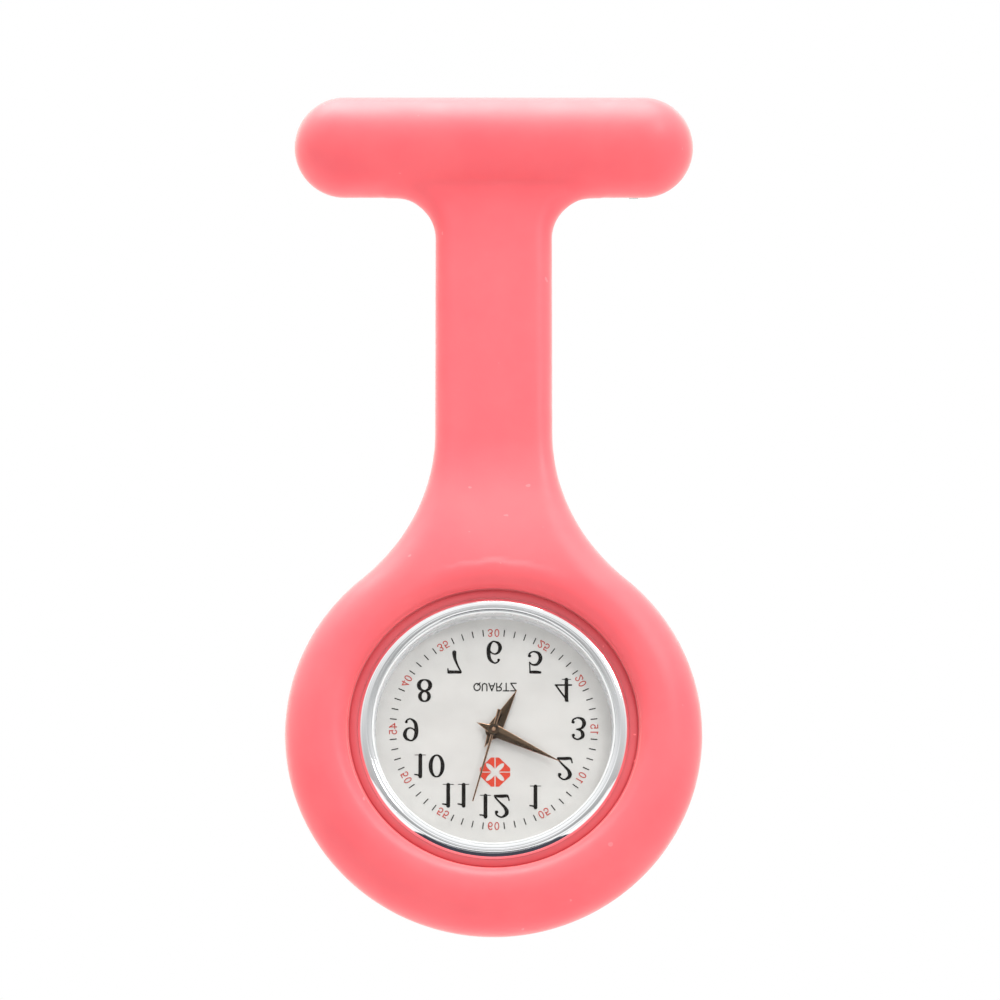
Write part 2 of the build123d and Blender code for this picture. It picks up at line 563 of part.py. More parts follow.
def coil():
    """The winding, with a flange at each end."""
    middle_y, middle_z = 2.2, CORE_POSTS[0][1]
    left, right = CORE_POSTS[0][0] + 0.7, CORE_POSTS[1][0] - 0.7
    winding = rod_x(0.78, left, right, middle_y, middle_z)
    winding += rod_x(0.86, left, left + 0.2, middle_y, middle_z)
    winding += rod_x(0.86, right - 0.2, right, middle_y, middle_z)
    return winding - block(left - 1, right + 1, 2.0, 2.4, -7.3, -6.5)


def circuit_board():
    board = block(-9.3, -3.95, WEB_BACK, 1.55, -6.3, 3.6) & disc(9.4, 0, 3)
    return board - disc(0.85, 0, 3, BRIDGE_POSTS[0])


def chip():
    return block(-7.7, -5.5, 1.55, 2.2, -4.8, -2.6)


def quartz_can():
    can = Pos(-7.65, 2.31, 1.4) * Cylinder(0.75, 4.2)
    for side in (-1, 1):
        can += Pos(-7.65 + side * 0.3, 2.31, -1.1) * Cylinder(0.1, 0.9)
    return can


def battery():
    """A button cell: the can, and the smaller cap towards the dial."""
    return disc(BATTERY_RADIUS, 1.15, 3.35, BATTERY_AT) + disc(BATTERY_RADIUS - 0.55, 0.75, 1.15, BATTERY_AT)


def battery_clip():
    """A spring strip from the board over the battery."""
    strip = slab(band([(-5.2, 3.2), BATTERY_AT], 0.7), 3.35, 3.45)
    return strip + block(-5.5, -4.9, 1.55, 3.4, 2.95, 3.45)


def movement_ring():
    """The plastic ring that holds the movement in the case."""
    ring = washer(DIAL_RADIUS, PLATE_RADIUS, 0, 2.9)
    ring -= rod_x(STEM_RADIUS + 0.1, 9, 13, STEM_DEPTH)
    return ring - block(9, 13, STEM_DEPTH, 3, -0.5, 0.5)


# ---------------------------------------------------------------- the crown and stem
def crown():
    """The fluted crown, hollow over the tube."""
    body = slab(gear_face(28, 0.11, 0.0), 14.05, 15.75)
    body &= disc(1.62, 14.05, 15.75) - washer(2, 1.5, 15.6, 16)
    body -= disc(0.86, 14, 14.9)
    body -= disc(STEM_RADIUS, 14.8, 15.4)
    return Pos(0, STEM_DEPTH, 0) * Rot(0, 0, -90) * body


def stem():
    shaft = rod_x(STEM_RADIUS, 4.7, 15.4, STEM_DEPTH)
    groove = rod_x(1, 5.4, 5.85, STEM_DEPTH) - rod_x(0.24, 5, 6, STEM_DEPTH)
    return shaft - groove


def crown_gasket():
    ring = Torus(0.61, 0.2)
    return Pos(14.62, STEM_DEPTH, 0) * Rot(0, 90, 0) * ring


def setting_lever():
    """A sliding plate whose finger sits in the stem's groove and moves with it."""
    lever = block(5.0, 6.2, 1.6, 1.8, -0.6, 2.4)
    lever += block(5.0, 6.2, WEB_BACK + 0.02, 1.6, 1.3, 2.4)
    return lever + disc(0.19, STEM_DEPTH + 0.27, 1.6, (5.625, 0))


# ---------------------------------------------------------------- every node
def nodes():
    """Every piece by name, in the row's frame."""
    free = {
        "silicone_holder": holder(), "pin_plate": pin_plate(), "hinge_rivet": hinge_rivet(),
        "pin_needle": pin_needle(), "safety_catch": safety_catch(),
    }
    head = {
        "case": case(), "crystal": crystal(), "crystal_gasket": crystal_gasket(),
        "dial_spacer_ring": dial_spacer_ring(), "caseback": caseback(),
        "caseback_gasket": washer(BACK_SEAT_RADIUS - 0.02, 12.2, BACK_SEAT, 5.35),
        "crown_tube": Pos(0, DIAL_BACK + STEM_DEPTH, 0) * crown_tube(),
    }
    hour_back, minute_back = -0.58, -0.84
    movement = {
        "dial": dial(), "dial_washer": washer(1.2, 0.64, 0, 0.08), "movement_ring": movement_ring(),
        "hour_hand": dauphine(4.93, 2.0, 1.3, 0.8, HOUR_ANGLE, hour_back, HOUR_TUBE),
        "minute_hand": dauphine(7.5, 1.87, 1.2, 0.7, MINUTE_ANGLE, minute_back, CANNON_RADIUS),
        "second_hand": second_hand(), "hour_wheel": hour_wheel(), "cannon_pinion": cannon_pinion(),
        "centre_wheel": centre_wheel(), "minute_wheel": minute_wheel(), "third_wheel": third_wheel(),
        "fourth_wheel": fourth_wheel(), "fifth_wheel": fifth_wheel(), "rotor": rotor(),
        "main_plate": main_plate(), "train_bridge": train_bridge(), "stator": stator(),
        "coil_core": coil_core(), "coil": coil(), "circuit_board": circuit_board(), "chip": chip(),
        "quartz_can": quartz_can(), "battery": battery(), "battery_clip": battery_clip(),
        "crown": crown(), "stem": stem(), "crown_gasket": crown_gasket(), "setting_lever": setting_lever(),
    }
    placed = dict(free)
    placed.update({name: place_head(shape) for name, shape in head.items()})
    placed.update({name: place_movement(shape) for name, shape in movement.items()})
    placed["bridge_screws"] = Compound(children=[place_movement(shape) for shape in bridge_screws()])
    return placed


os.makedirs("parts", exist_ok=True)
for node, shape in nodes().items():
    export_step(shape, f"parts/{node}.step")
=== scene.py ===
"""Looks for the fob watch: a silicone nurse's watch holder with a quartz watch head and a brooch pin.

Sizes below are in millimetres in the CAD's frame, and every mesh is scaled to metres when it is made.
The dial is drawn as the wearer reads it, then turned over, so it runs mirrored with 12 at the bottom.
"""
import json
from math import atan2, cos, hypot, pi, radians, sin, sqrt

import bmesh
import bpy
import numpy as np
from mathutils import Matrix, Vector


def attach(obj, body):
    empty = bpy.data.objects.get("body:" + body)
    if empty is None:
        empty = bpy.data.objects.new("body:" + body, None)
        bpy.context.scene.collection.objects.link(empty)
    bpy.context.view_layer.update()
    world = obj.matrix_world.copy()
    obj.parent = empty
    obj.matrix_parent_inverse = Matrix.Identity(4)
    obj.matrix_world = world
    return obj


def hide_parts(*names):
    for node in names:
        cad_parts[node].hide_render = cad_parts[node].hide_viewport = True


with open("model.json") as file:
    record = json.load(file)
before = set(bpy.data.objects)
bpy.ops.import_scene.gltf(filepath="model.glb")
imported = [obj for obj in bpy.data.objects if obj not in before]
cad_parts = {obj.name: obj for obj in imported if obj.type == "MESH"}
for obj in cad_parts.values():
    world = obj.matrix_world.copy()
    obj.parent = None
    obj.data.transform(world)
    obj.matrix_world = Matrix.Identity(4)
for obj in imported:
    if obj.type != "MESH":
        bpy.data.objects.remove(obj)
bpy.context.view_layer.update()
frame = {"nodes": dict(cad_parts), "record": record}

MM = 0.001
scene = bpy.context.scene
nodes = frame["nodes"]

# ---------------------------------------------------------------- sizes, in millimetres
# The holder's depths are y from its mid-plane, and heights are z above the dial's axis.
MID_Y = -6.6  # the moulding's mid-plane
DIAL_Z = -62.5  # the dial's axis
HEAD_Y = -9.9  # the front of the bezel; pieces of the head are measured back from here
BAR_RADIUS, BAR_HALF = 5.1, 20.3
BAR_BACK = 4.12  # the bar's flat back, just below the pin's plate
STRAP_HALF, STRAP_T, STRAP_EDGE = 5.9, 2.2, 1.7  # half its width, half its thickness, its rounded edge
BAR_CORNER, CORNER_SPARE = 4.8, 0.4  # radius between the bar and the strap, and how far it runs on
CORNER_ABOVE = 40.0  # above this height the outline is that corner, and below it the strap, flare and ring
RING_R, RING_CREST, RING_FRONT = 20.7, 16.7, 4.75  # outside radius, and the front's highest circle
RING_BACK, RING_BACK_EDGE, RING_WIDEST = 4.2, 15.7, -0.8  # flat back, where it rounds off, widest depth
RING_DIP = 3.2  # power of the front's curve from the crest down to the lip
FLARE = 21.0  # radius between the strap and the ring
SWELL_TOP, SWELL_LENGTH = 30.5, 16.0  # the height where the strap starts to swell, and over what length
STRAP_TOP = 1.5  # z where the strap ends, inside the bar
BAR_BLEND, BACK_BLEND = 0.5, 0.8  # softness of the bar's join to the strap, and of its back's edges
LIP_R, LIP_TOP = 14.36, -3.16  # the lip round the bezel
LIP_IN, LIP_Y = 13.49, -2.88  # the ledge's inner radius and its depth
PAINTED_SHADE_BACK = -2.4  # faces inside the lip and in front of this depth get the darker silicone, a painted shade of the recess
CASE_R, WINDOW_R, HEAD_BACK = 13.82, 10.4, 2.97  # the pocket that holds the head, and the hole behind it
CROWN_POCKET_END, CROWN_POCKET_Z, CROWN_POCKET_Y = 17.2, 2.05, 1.95  # x of its end, and its half sizes
WELD, EDGE_BEVEL = 0.02, 0.07
CUT_R, LATHE_R = 16.1, 15.8  # where the holder's net stops, and where its turned inside starts
NET_STEP, NET_PULLS = 0.44, 8
RELAX_ROUNDS, RELAX_SHARE = 6, 0.6
PROBE, LEAST_SLOPE = 0.02, 0.05  # half the step of a slope, and the least squared slope to divide by
LATHE_SEGMENTS = 240
DIAL_FRONT = 1.8
PRINT_TOP, PRINT_BOTTOM = DIAL_FRONT - 0.022, DIAL_FRONT - 0.001
PRINT_RISE = 0.25  # the print stands this far above the dial's axis, as in the photograph
NUMBER_HEIGHT, MINUTE_HEIGHT, MINUTE_RADIUS = 2.34, 0.76, 9.98
DIGIT_WIDE, MINUTE_GAP = 1.30, 0.14  # how far the digits are widened, and the gap in the minute numbers
PLAIN_RADIUS, INK_GAIN, INK_SPREAD = 0.064, 0.60, 0.011  # strokes as shares of a digit's height
TICK_IN, TICK_OUT, TICK_HALF = 9.66, 10.34, 0.05
ROSETTE_X, ROSETTE_Y, ROSETTE_HALF, ROSETTE_CUT = 0.14, 4.43, 1.50, 1.34
PETAL, PETAL_NARROW, ROSETTE_LINE = 0.62, 2.6, 0.055
DIAGONAL = 0.7071
WORD_HEIGHT, WORD_WIDTH, WORD_STROKE, WORD_AT = 0.78, 4.3, 0.12, (0.12, -4.36)
HOUR_ANGLE, MINUTE_ANGLE, SECOND_ANGLE = 61.5, -26.0, -105.6  # from +X towards +Z


# ---------------------------------------------------------------- mesh helpers
def add(name, verts, faces, body, slot, mats, smooth=None, face_mats=None, replaces=()):
    """A mesh object from points in millimetres, riding on a body."""
    mesh = bpy.data.meshes.new(name)
    points = [tuple(float(c) * MM for c in v) for v in verts]
    mesh.from_pydata(points, [], [tuple(int(i) for i in f) for f in faces])
    obj = bpy.data.objects.new(name, mesh)
    scene.collection.objects.link(obj)
    for mat in mats:
        mesh.materials.append(mat)
    if face_mats is not None:
        mesh.polygons.foreach_set("material_index", [int(i) for i in face_mats])
    mesh.update()
    if smooth is not None:
        mesh.shade_smooth()
        if smooth < 180:
            mesh.set_sharp_from_angle(angle=radians(smooth))
    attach(obj, body)
    if replaces:
        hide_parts(*replaces)
    return obj


def lathe_mesh(profile, segments, centre=(0.0, HEAD_Y, DIAL_Z), closed=True):
    """Points and faces of a profile of (radius, y) turned about the dial's axis; radius 0 makes a cap."""
    cx, cy, cz = centre
    verts, rows = [], []
    for radius, y in profile:
        if radius < 1e-6:
            rows.append([len(verts)] * segments)
            verts.append((cx, cy + y, cz))
        else:
            rows.append(list(range(len(verts), len(verts) + segments)))
            for n in range(segments):
                a = 2 * pi * n / segments
                verts.append((cx + radius * cos(a), cy + y, cz + radius * sin(a)))
    faces = []
    pairs = list(zip(rows, rows[1:])) + ([(rows[-1], rows[0])] if closed else [])
    for low, high in pairs:
        for n in range(segments):
            m = (n + 1) % segments
            quad = [low[n], low[m], high[m], high[n]]
            face = [v for k, v in enumerate(quad) if v not in quad[:k]]
            if len(face) > 2:
                faces.append(face)
    return verts, faces


def fix_normals(obj):
    """Makes every face of a closed mesh point outwards."""
    bm = bmesh.new()
    bm.from_mesh(obj.data)
    bmesh.ops.recalc_face_normals(bm, faces=bm.faces)
    bm.to_mesh(obj.data)
    bm.free()


def lathe(name, profile, body, slot, mats, segments=256, smooth=30, replaces=(), closed=True):
    """A piece turned about the dial's axis, from a profile of (radius, depth behind the bezel's front)."""
    verts, faces = lathe_mesh(profile, segments, closed=closed)
    fix_normals(add(name, verts, faces, body, slot, mats, smooth=smooth, replaces=replaces))


def arc(centre, radius, start, end, steps):
    """Points of an arc in the profile plane, with angles in degrees."""
    angles = np.radians(np.linspace(start, end, steps + 1))
    return [(centre[0] + radius * cos(a), centre[1] + radius * sin(a)) for a in angles]


# ---------------------------------------------------------------- materials
def new_material(name):
    mat = bpy.data.materials.new(name)
    mat.use_nodes = True
    tree = mat.node_tree
    return mat, tree, tree.nodes["Principled BSDF"]


def noise(tree, scale, detail=2.0, roughness=0.5, stretch=None):
    """A 3-D noise whose scale is in cycles per metre; stretch draws it out along the axes."""
    coords = tree.nodes.new("ShaderNodeTexCoord")
    node = tree.nodes.new("ShaderNodeTexNoise")
    node.inputs["Scale"].default_value = scale
    node.inputs["Detail"].default_value = detail
    node.inputs["Roughness"].default_value = roughness
    source = coords.outputs["Object"]
    if stretch:
        mapping = tree.nodes.new("ShaderNodeMapping")
        mapping.inputs["Scale"].default_value = stretch
        tree.links.new(source, mapping.inputs["Vector"])
        source = mapping.outputs["Vector"]
    tree.links.new(source, node.inputs["Vector"])
    return node


def ramp(tree, source, stops):
    """A colour ramp over a value, with stops of (position, colour or grey)."""
    node = tree.nodes.new("ShaderNodeValToRGB")
    elements = node.color_ramp.elements
    while len(elements) < len(stops):
        elements.new(0.5)
    for element, (position, colour) in zip(elements, stops):
        element.position = position
        element.color = (*colour, 1) if isinstance(colour, (tuple, list)) else (colour, colour, colour, 1)
    tree.links.new(source, node.inputs["Fac"])
    return node


def bump(tree, shader, source, distance, strength):
    """A bump of a real height, in metres."""
    node = tree.nodes.new("ShaderNodeBump")
    node.inputs["Distance"].default_value = distance
    node.inputs["Strength"].default_value = strength
    tree.links.new(source, node.inputs["Height"])
    tree.links.new(node.outputs["Normal"], shader.inputs["Normal"])


def set_sockets(shader, values):
    for socket, value in values.items():
        shader.inputs[socket].default_value = value


def silicone_material(name="silicone_coral", painted_shade=1.0):
    """Matte coral silicone: cloudy pigment, a soft bloom, fine moulded grain and a few specks of lint.

    A shade below 1 darkens the colour and the sheen. This is painted shade for the recess round the bezel,
    which is really the same silicone.
    """
    mat, tree, shader = new_material(name)
    set_sockets(shader, {
        "Roughness": 0.46, "Specular IOR Level": 0.45, "Subsurface Weight": 0.16, "Subsurface Scale": 0.0016,
        # the sheen is cut by the same painted shade
        "Sheen Weight": 0.7 * painted_shade, "Sheen Roughness": 0.35,
    })
    shader.inputs["Subsurface Radius"].default_value = (1.0, 0.35, 0.3)
    shader.inputs["Sheen Tint"].default_value = (1.0, 0.75, 0.68, 1)
    cloud = noise(tree, 110, 3, 0.55)
    # both pigment colours are darkened by the painted shade for the recess
    deep, pale = (0.87, 0.114, 0.138), (0.90, 0.138, 0.158)
    stops = [(0.3, tuple(c * painted_shade for c in deep)), (0.7, tuple(c * painted_shade for c in pale))]
    pigment = ramp(tree, cloud.outputs["Fac"], stops)
    lint = noise(tree, 900, 1.0, 0.3)
    specks = ramp(tree, lint.outputs["Fac"], [(0.80, 0.0), (0.815, 1.0)])
    mix = tree.nodes.new("ShaderNodeMix")
    mix.data_type = "RGBA"
    tree.links.new(specks.outputs["Color"], mix.inputs["Factor"])
    tree.links.new(pigment.outputs["Color"], mix.inputs["A"])
    mix.inputs["B"].default_value = (0.90, 0.20, 0.22, 1)
    tree.links.new(mix.outputs["Result"], shader.inputs["Base Color"])
    gloss = noise(tree, 260, 2, 0.5)
    rough = ramp(tree, gloss.outputs["Fac"], [(0.3, 0.42), (0.7, 0.52)])
    tree.links.new(rough.outputs["Color"], shader.inputs["Roughness"])
    grain = noise(tree, 5200, 2, 0.6)
    bump(tree, shader, grain.outputs["Fac"], 0.000012, 0.6)
    return mat


def metal_material(name, colour, low, high, scale=900.0, stretch=None, grain=0.000002):
    """A metal whose roughness and tint vary, with fine scratches; stretch draws the scratches out."""
    mat, tree, shader = new_material(name)
    set_sockets(shader, {"Metallic": 1.0, "Roughness": (low + high) / 2})
    tone = noise(tree, scale * 0.18, 2, 0.5)
    dark = tuple(c * 0.9 for c in colour)
    tint = ramp(tree, tone.outputs["Fac"], [(0.35, dark), (0.65, colour)])
    tree.links.new(tint.outputs["Color"], shader.inputs["Base Color"])
    streak = noise(tree, scale, 3, 0.6, stretch)
    rough = ramp(tree, streak.outputs["Fac"], [(0.3, low), (0.7, high)])
    tree.links.new(rough.outputs["Color"], shader.inputs["Roughness"])
    bump(tree, shader, streak.outputs["Fac"], grain, 0.5)
    return mat


def plastic_material(name, colour, rough=0.45, scale=1500.0, grain=0.000006, coat=0.0, shine=0.5):
    """A moulded plastic or lacquer with a fine texture and slight tone changes."""
    mat, tree, shader = new_material(name)
    set_sockets(shader, {
        "Roughness": rough, "Coat Weight": coat, "Coat Roughness": 0.08, "Specular IOR Level": shine,
    })
    tone = noise(tree, scale * 0.12, 2, 0.5)
    tint = ramp(tree, tone.outputs["Fac"], [(0.35, tuple(c * 0.93 for c in colour)), (0.65, colour)])
    tree.links.new(tint.outputs["Color"], shader.inputs["Base Color"])
    texture = noise(tree, scale, 2, 0.5)
    roughness = ramp(tree, texture.outputs["Fac"], [(0.3, rough * 0.88), (0.7, min(1, rough * 1.12))])
    tree.links.new(roughness.outputs["Color"], shader.inputs["Roughness"])
    bump(tree, shader, texture.outputs["Fac"], grain, 0.5)
    return mat


def turned_material(name, colour, low, high):
    """A metal brushed in circles about the dial's axis."""
    mat, tree, shader = new_material(name)
    set_sockets(shader, {"Metallic": 1.0, "Roughness": (low + high) / 2})
    coords = tree.nodes.new("ShaderNodeTexCoord")
    shift = tree.nodes.new("ShaderNodeMapping")
    shift.inputs["Location"].default_value = (0, 0, -DIAL_Z * MM)
    shift.inputs["Scale"].default_value = (1, 0, 1)
    tree.links.new(coords.outputs["Object"], shift.inputs["Vector"])
    length = tree.nodes.new("ShaderNodeVectorMath")
    length.operation = "LENGTH"
    tree.links.new(shift.outputs["Vector"], length.inputs[0])
    rings = tree.nodes.new("ShaderNodeTexNoise")
    rings.noise_dimensions = "1D"
    rings.inputs["Scale"].default_value = 9000
    rings.inputs["Detail"].default_value = 3
    tree.links.new(length.outputs["Value"], rings.inputs["W"])
    rough = ramp(tree, rings.outputs["Fac"], [(0.3, low), (0.7, high)])
    tree.links.new(rough.outputs["Color"], shader.inputs["Roughness"])
    tint = ramp(tree, rings.outputs["Fac"], [(0.3, tuple(c * 0.88 for c in colour)), (0.7, colour)])
    tree.links.new(tint.outputs["Color"], shader.inputs["Base Color"])
    bump(tree, shader, rings.outputs["Fac"], 0.000003, 0.6)
    return mat


def glass_material():
    """Clear mineral glass: see-through, with a reflection that grows towards grazing angles."""
    mat, tree, shader = new_material("mineral_glass")
    set_sockets(shader, {"Roughness": 0.02, "Specular IOR Level": 0.5, "Alpha": 0.05})
    wipe = noise(tree, 160, 2, 0.5)
    tint = ramp(tree, wipe.outputs["Fac"], [(0.3, (0.03, 0.04, 0.045)), (0.7, (0.06, 0.07, 0.08))])
    tree.links.new(tint.outputs["Color"], shader.inputs["Base Color"])
    rough = ramp(tree, wipe.outputs["Fac"], [(0.3, 0.015), (0.7, 0.04)])
    tree.links.new(rough.outputs["Color"], shader.inputs["Roughness"])
    return mat


MAT = {
    "silicone": silicone_material(),
    "plated_steel": metal_material("nickel_plate", (0.54, 0.53, 0.51), 0.14, 0.26, 1400),
    "chrome": metal_material("polished_chrome", (0.93, 0.94, 0.95), 0.03, 0.09, 700, grain=0.0000008),
    "glass": glass_material(),
    "seal": plastic_material("nylon_seal", (0.80, 0.82, 0.82), 0.3),
    "black_seal": plastic_material("nitrile_seal", (0.02, 0.02, 0.02), 0.55),
    "dial_print": plastic_material("dial_lacquer", (0.715, 0.71, 0.685), 0.34, 2600, 0.000003),
    "spacer": plastic_material("spacer_satin", (0.70, 0.725, 0.74), 0.28),
    "bronze": metal_material("bronze_lacquer", (0.115, 0.078, 0.050), 0.20, 0.27, 1100, grain=0.0000006),
    "white_plastic": plastic_material("white_plastic", (0.80, 0.80, 0.78), 0.4),
    "black_plastic": plastic_material("black_plastic", (0.03, 0.03, 0.035), 0.45),
    "brass": metal_material("satin_brass", (0.80, 0.60, 0.27), 0.18, 0.30, 2000),
    "steel": metal_material("satin_steel", (0.62, 0.62, 0.63), 0.2, 0.32, 1800, (1, 1, 8)),
    "board": plastic_material("board_lacquer", (0.04, 0.24, 0.10), 0.3, coat=0.5),
    "copper": metal_material("enamelled_copper", (0.72, 0.33, 0.14), 0.22, 0.34, 2500, (12, 1, 1)),
    "magnet": metal_material("sintered_magnet", (0.12, 0.12, 0.13), 0.35, 0.5, 2500),
    "back_steel": turned_material("turned_steel", (0.50, 0.50, 0.51), 0.16, 0.34),
}
# The recess between the lip and the bezel: the same silicone darkened to 0.74, a painted shade of the recess
LEDGE_PAINTED_SHADE = silicone_material("silicone_ledge_painted_shade", 0.74)
INK = plastic_material("dial_ink", (0.012, 0.009, 0.007), 0.4, 5000, 0.000002, shine=0.12)
RED_INK = plastic_material("red_ink", (0.56, 0.065, 0.045), 0.4, 5000, 0.000002)
MARK_INK = plastic_material("mark_ink", (0.74, 0.055, 0.022), 0.4, 5000, 0.000002)
ROSE = metal_material("rose_gold_edge", (0.60, 0.39, 0.27), 0.16, 0.24, 1500, grain=0.0000006)
slot_of = {s["node"]: s["material_slot"] for s in frame["record"]["subparts"]}
for name, obj in nodes.items():
    obj.data.materials.clear()
    obj.data.materials.append(MAT[slot_of[name]])


# ---------------------------------------------------------------- the silicone holder's surface
def smooth_min(a, b, k):
    h = np.clip(0.5 + 0.5 * (b - a) / k, 0, 1)
    return b * (1 - h) + a * h - k * h * (1 - h)


def ring_front(radius):
    """The y of the ring's front face from its crest down to the lip, from the mid-plane."""
    u = np.clip((RING_CREST - radius) / (RING_CREST - LIP_R), 0, 1)
    return -RING_FRONT + (LIP_TOP + RING_FRONT) * u**RING_DIP


def outline_distance(x, height):
    """How far a point lies outside the flat outline of ring, flared neck and strap (negative inside)."""
    x = np.abs(x)
    reach = STRAP_HALF + FLARE
    top = sqrt((RING_R + FLARE) ** 2 - reach**2)
    ring = np.hypot(x, height) - RING_R
    flare = FLARE - np.hypot(reach - x, top - height)
    below = height * reach < top * x
    neck = np.where(height > top, x - STRAP_HALF, flare)
    return np.where(below, ring, np.where(x < reach, neck, ring))


def holder_distance(p):
    """Roughly the signed distance to the holder's outside: the bar, and the strap swelling into the ring."""
    x, y, z = p[..., 0], p[..., 1], p[..., 2]
    bar = np.sqrt(np.maximum(np.abs(x) - (BAR_HALF - BAR_RADIUS), 0) ** 2 + y**2 + z**2) - BAR_RADIUS
    bar = -smooth_min(-bar, -(y - BAR_BACK), BACK_BLEND)
    height = z - DIAL_Z
    side, under = np.abs(x) - STRAP_HALF, -BAR_RADIUS - z
    u, v = np.maximum(BAR_CORNER - side, 0), np.maximum(BAR_CORNER - under, 0)
    corner = np.maximum(BAR_CORNER, np.minimum(side, under)) - np.sqrt(u**2 + v**2)
    corner = np.maximum(corner, np.abs(x) - STRAP_HALF - BAR_CORNER - CORNER_SPARE)
    edge_out = np.where(height > CORNER_ABOVE, corner, outline_distance(x, height))
    share = np.clip((SWELL_TOP - height) / SWELL_LENGTH, 0, 1)
    ease = share * share * (3 - 2 * share)
    front = y < RING_WIDEST * ease
    middle = RING_WIDEST * ease
    deep_end = np.where(front, RING_FRONT + RING_WIDEST, RING_BACK - RING_WIDEST)
    wide_end = np.where(front, RING_R - RING_CREST, RING_R - RING_BACK_EDGE)
    deep = STRAP_T + (deep_end - STRAP_T) * ease
    wide = STRAP_EDGE + (wide_end - STRAP_EDGE) * ease
    across = np.maximum(edge_out + wide, 0) / wide
    if_edge = (np.sqrt(across**2 + ((y - middle) / deep) ** 2) - 1) * np.minimum(wide, deep)
    body = np.where(across > 0, if_edge, np.abs(y - middle) - deep)
    radius = np.hypot(x, height)
    body = np.where(front & (radius < RING_CREST), ring_front(radius) - y, body)
    return smooth_min(bar, np.maximum(body, z - STRAP_TOP), BAR_BLEND)


def pull(field, points, limit=None):
    """Points moved one step towards the field's zero surface, no further than the limit."""
    steps = np.eye(3) * PROBE
    slope = np.stack([(field(points + d) - field(points - d)) / (2 * PROBE) for d in steps], axis=-1)
    move = field(points) / np.maximum((slope**2).sum(-1), LEAST_SLOPE)
    if limit:
        move = np.clip(move, -limit, limit)
    return points - move[:, None] * slope


def surface_net(field, low, high, step):
    """A quad mesh of the field's zero surface: a vertex in each crossed cell, pulled onto the surface."""
    counts = [int(round((h - l) / step)) + 1 for l, h in zip(low, high)]
    axes = [l + step * np.arange(n) for l, n in zip(low, counts)]
    grid = np.stack(np.meshgrid(*axes, indexing="ij"), axis=-1)
    inside = field(grid) < 0
    cells = np.zeros([n - 1 for n in counts], np.int32)
    for dx in (0, 1):
        for dy in (0, 1):
            for dz in (0, 1):
                cells += inside[dx:counts[0] - 1 + dx, dy:counts[1] - 1 + dy, dz:counts[2] - 1 + dz]
    crossed = (cells > 0) & (cells < 8)
    index = -np.ones(crossed.shape, np.int64)
    index[crossed] = np.arange(crossed.sum())
    where = np.argwhere(crossed)
    points = np.array(low) + step * (where + 0.5)
    for _ in range(NET_PULLS):
        points = pull(field, points, step)
    faces = []
    for axis in range(3):
        other = [k for k in range(3) if k != axis]
        first, second = [slice(None)] * 3, [slice(None)] * 3
        first[axis], second[axis] = slice(0, -1), slice(1, None)
        change = inside[tuple(first)].astype(int) - inside[tuple(second)].astype(int)
        spots = np.argwhere(change != 0)
        spots = spots[(spots[:, other[0]] > 0) & (spots[:, other[1]] > 0)]
        signs = change[tuple(spots.T)]
        corner = []
        for da, db in ((0, 0), (1, 0), (1, 1), (0, 1)):
            cell = spots.copy()
            cell[:, other[0]] -= da
            cell[:, other[1]] -= db
            corner.append(index[tuple(cell.T)])
        quads = np.stack(corner, axis=1)
        flip = (signs > 0) == (axis == 1)
        quads[flip] = quads[flip][:, ::-1]
        faces.append(quads)
    return points, np.concatenate(faces)


def relax(points, faces, field, rounds):
    """Evens the mesh out along the surface."""
    edges = np.concatenate([faces[:, [a, (a + 1) % 4]] for a in range(4)])
    for _ in range(rounds):
        total, count = np.zeros_like(points), np.zeros(len(points))
        for a, b in ((0, 1), (1, 0)):
            np.add.at(total, edges[:, a], points[edges[:, b]])
            np.add.at(count, edges[:, a], 1)
        points = (1 - RELAX_SHARE) * points + RELAX_SHARE * total / np.maximum(count, 1)[:, None]
        for _ in range(2):
            points = pull(field, points)
    return points


def inner_profile():
    """The ring from its front face, over the lip and ledge, round the head's pocket, to its back face."""
    front = [(r, float(ring_front(r))) for r in np.linspace(LATHE_R, LIP_R + 0.26, 12)]
    lip = arc((LIP_R + 0.18, LIP_TOP + 0.14), 0.14, -100, -180, 5)
    groove = [(LIP_R + 0.02, LIP_Y + 0.10), (LIP_R - 0.05, LIP_Y + 0.13), (LIP_R - 0.12, LIP_Y + 0.06)]
    ledge = [(LIP_R - 0.20, LIP_Y), (LIP_IN + 0.3, LIP_Y - 0.01), (LIP_IN + 0.04, LIP_Y - 0.01)]
    ledge += [(LIP_IN, LIP_Y + 0.02)]
    pocket = [(LIP_IN, LIP_Y + 0.27), (CASE_R, LIP_Y + 0.51)]
    pocket += [(CASE_R, y) for y in np.linspace(-1.9, 1.9, 9)]
    pocket += [(CASE_R, HEAD_BACK), (WINDOW_R, HEAD_BACK)]
    window = [(WINDOW_R, RING_BACK - 0.5)] + arc((WINDOW_R + 0.5, RING_BACK - 0.5), 0.5, 180, 90, 6)
    back = [(r, RING_BACK) for r in np.linspace(WINDOW_R + 0.9, LATHE_R, 8)]
    return front + lip + groove + ledge + pocket + window + back


def zip_loops(outer, inner, angle):
    """Triangles between two closed loops of vertex indices about the dial's axis, both sorted by angle."""
    faces, i, j = [], 0, 0
    n, m = len(outer), len(inner)
    start = angle[outer[0]]
    inner = sorted(inner, key=lambda v: (angle[v] - start) % (2 * pi))
    outer_at = [(angle[v] - start) % (2 * pi) for v in outer] + [2 * pi]
    inner_at = [(angle[v] - start) % (2 * pi) for v in inner]
    inner_at.append(2 * pi + inner_at[0])
    while i < n or j < m:
        if j >= m or (i < n and outer_at[i + 1] <= inner_at[j + 1]):
            faces.append((outer[i % n], outer[(i + 1) % n], inner[j % m]))
            i += 1
        else:
            faces.append((outer[i % n], inner[(j + 1) % m], inner[j % m]))
            j += 1
    return faces


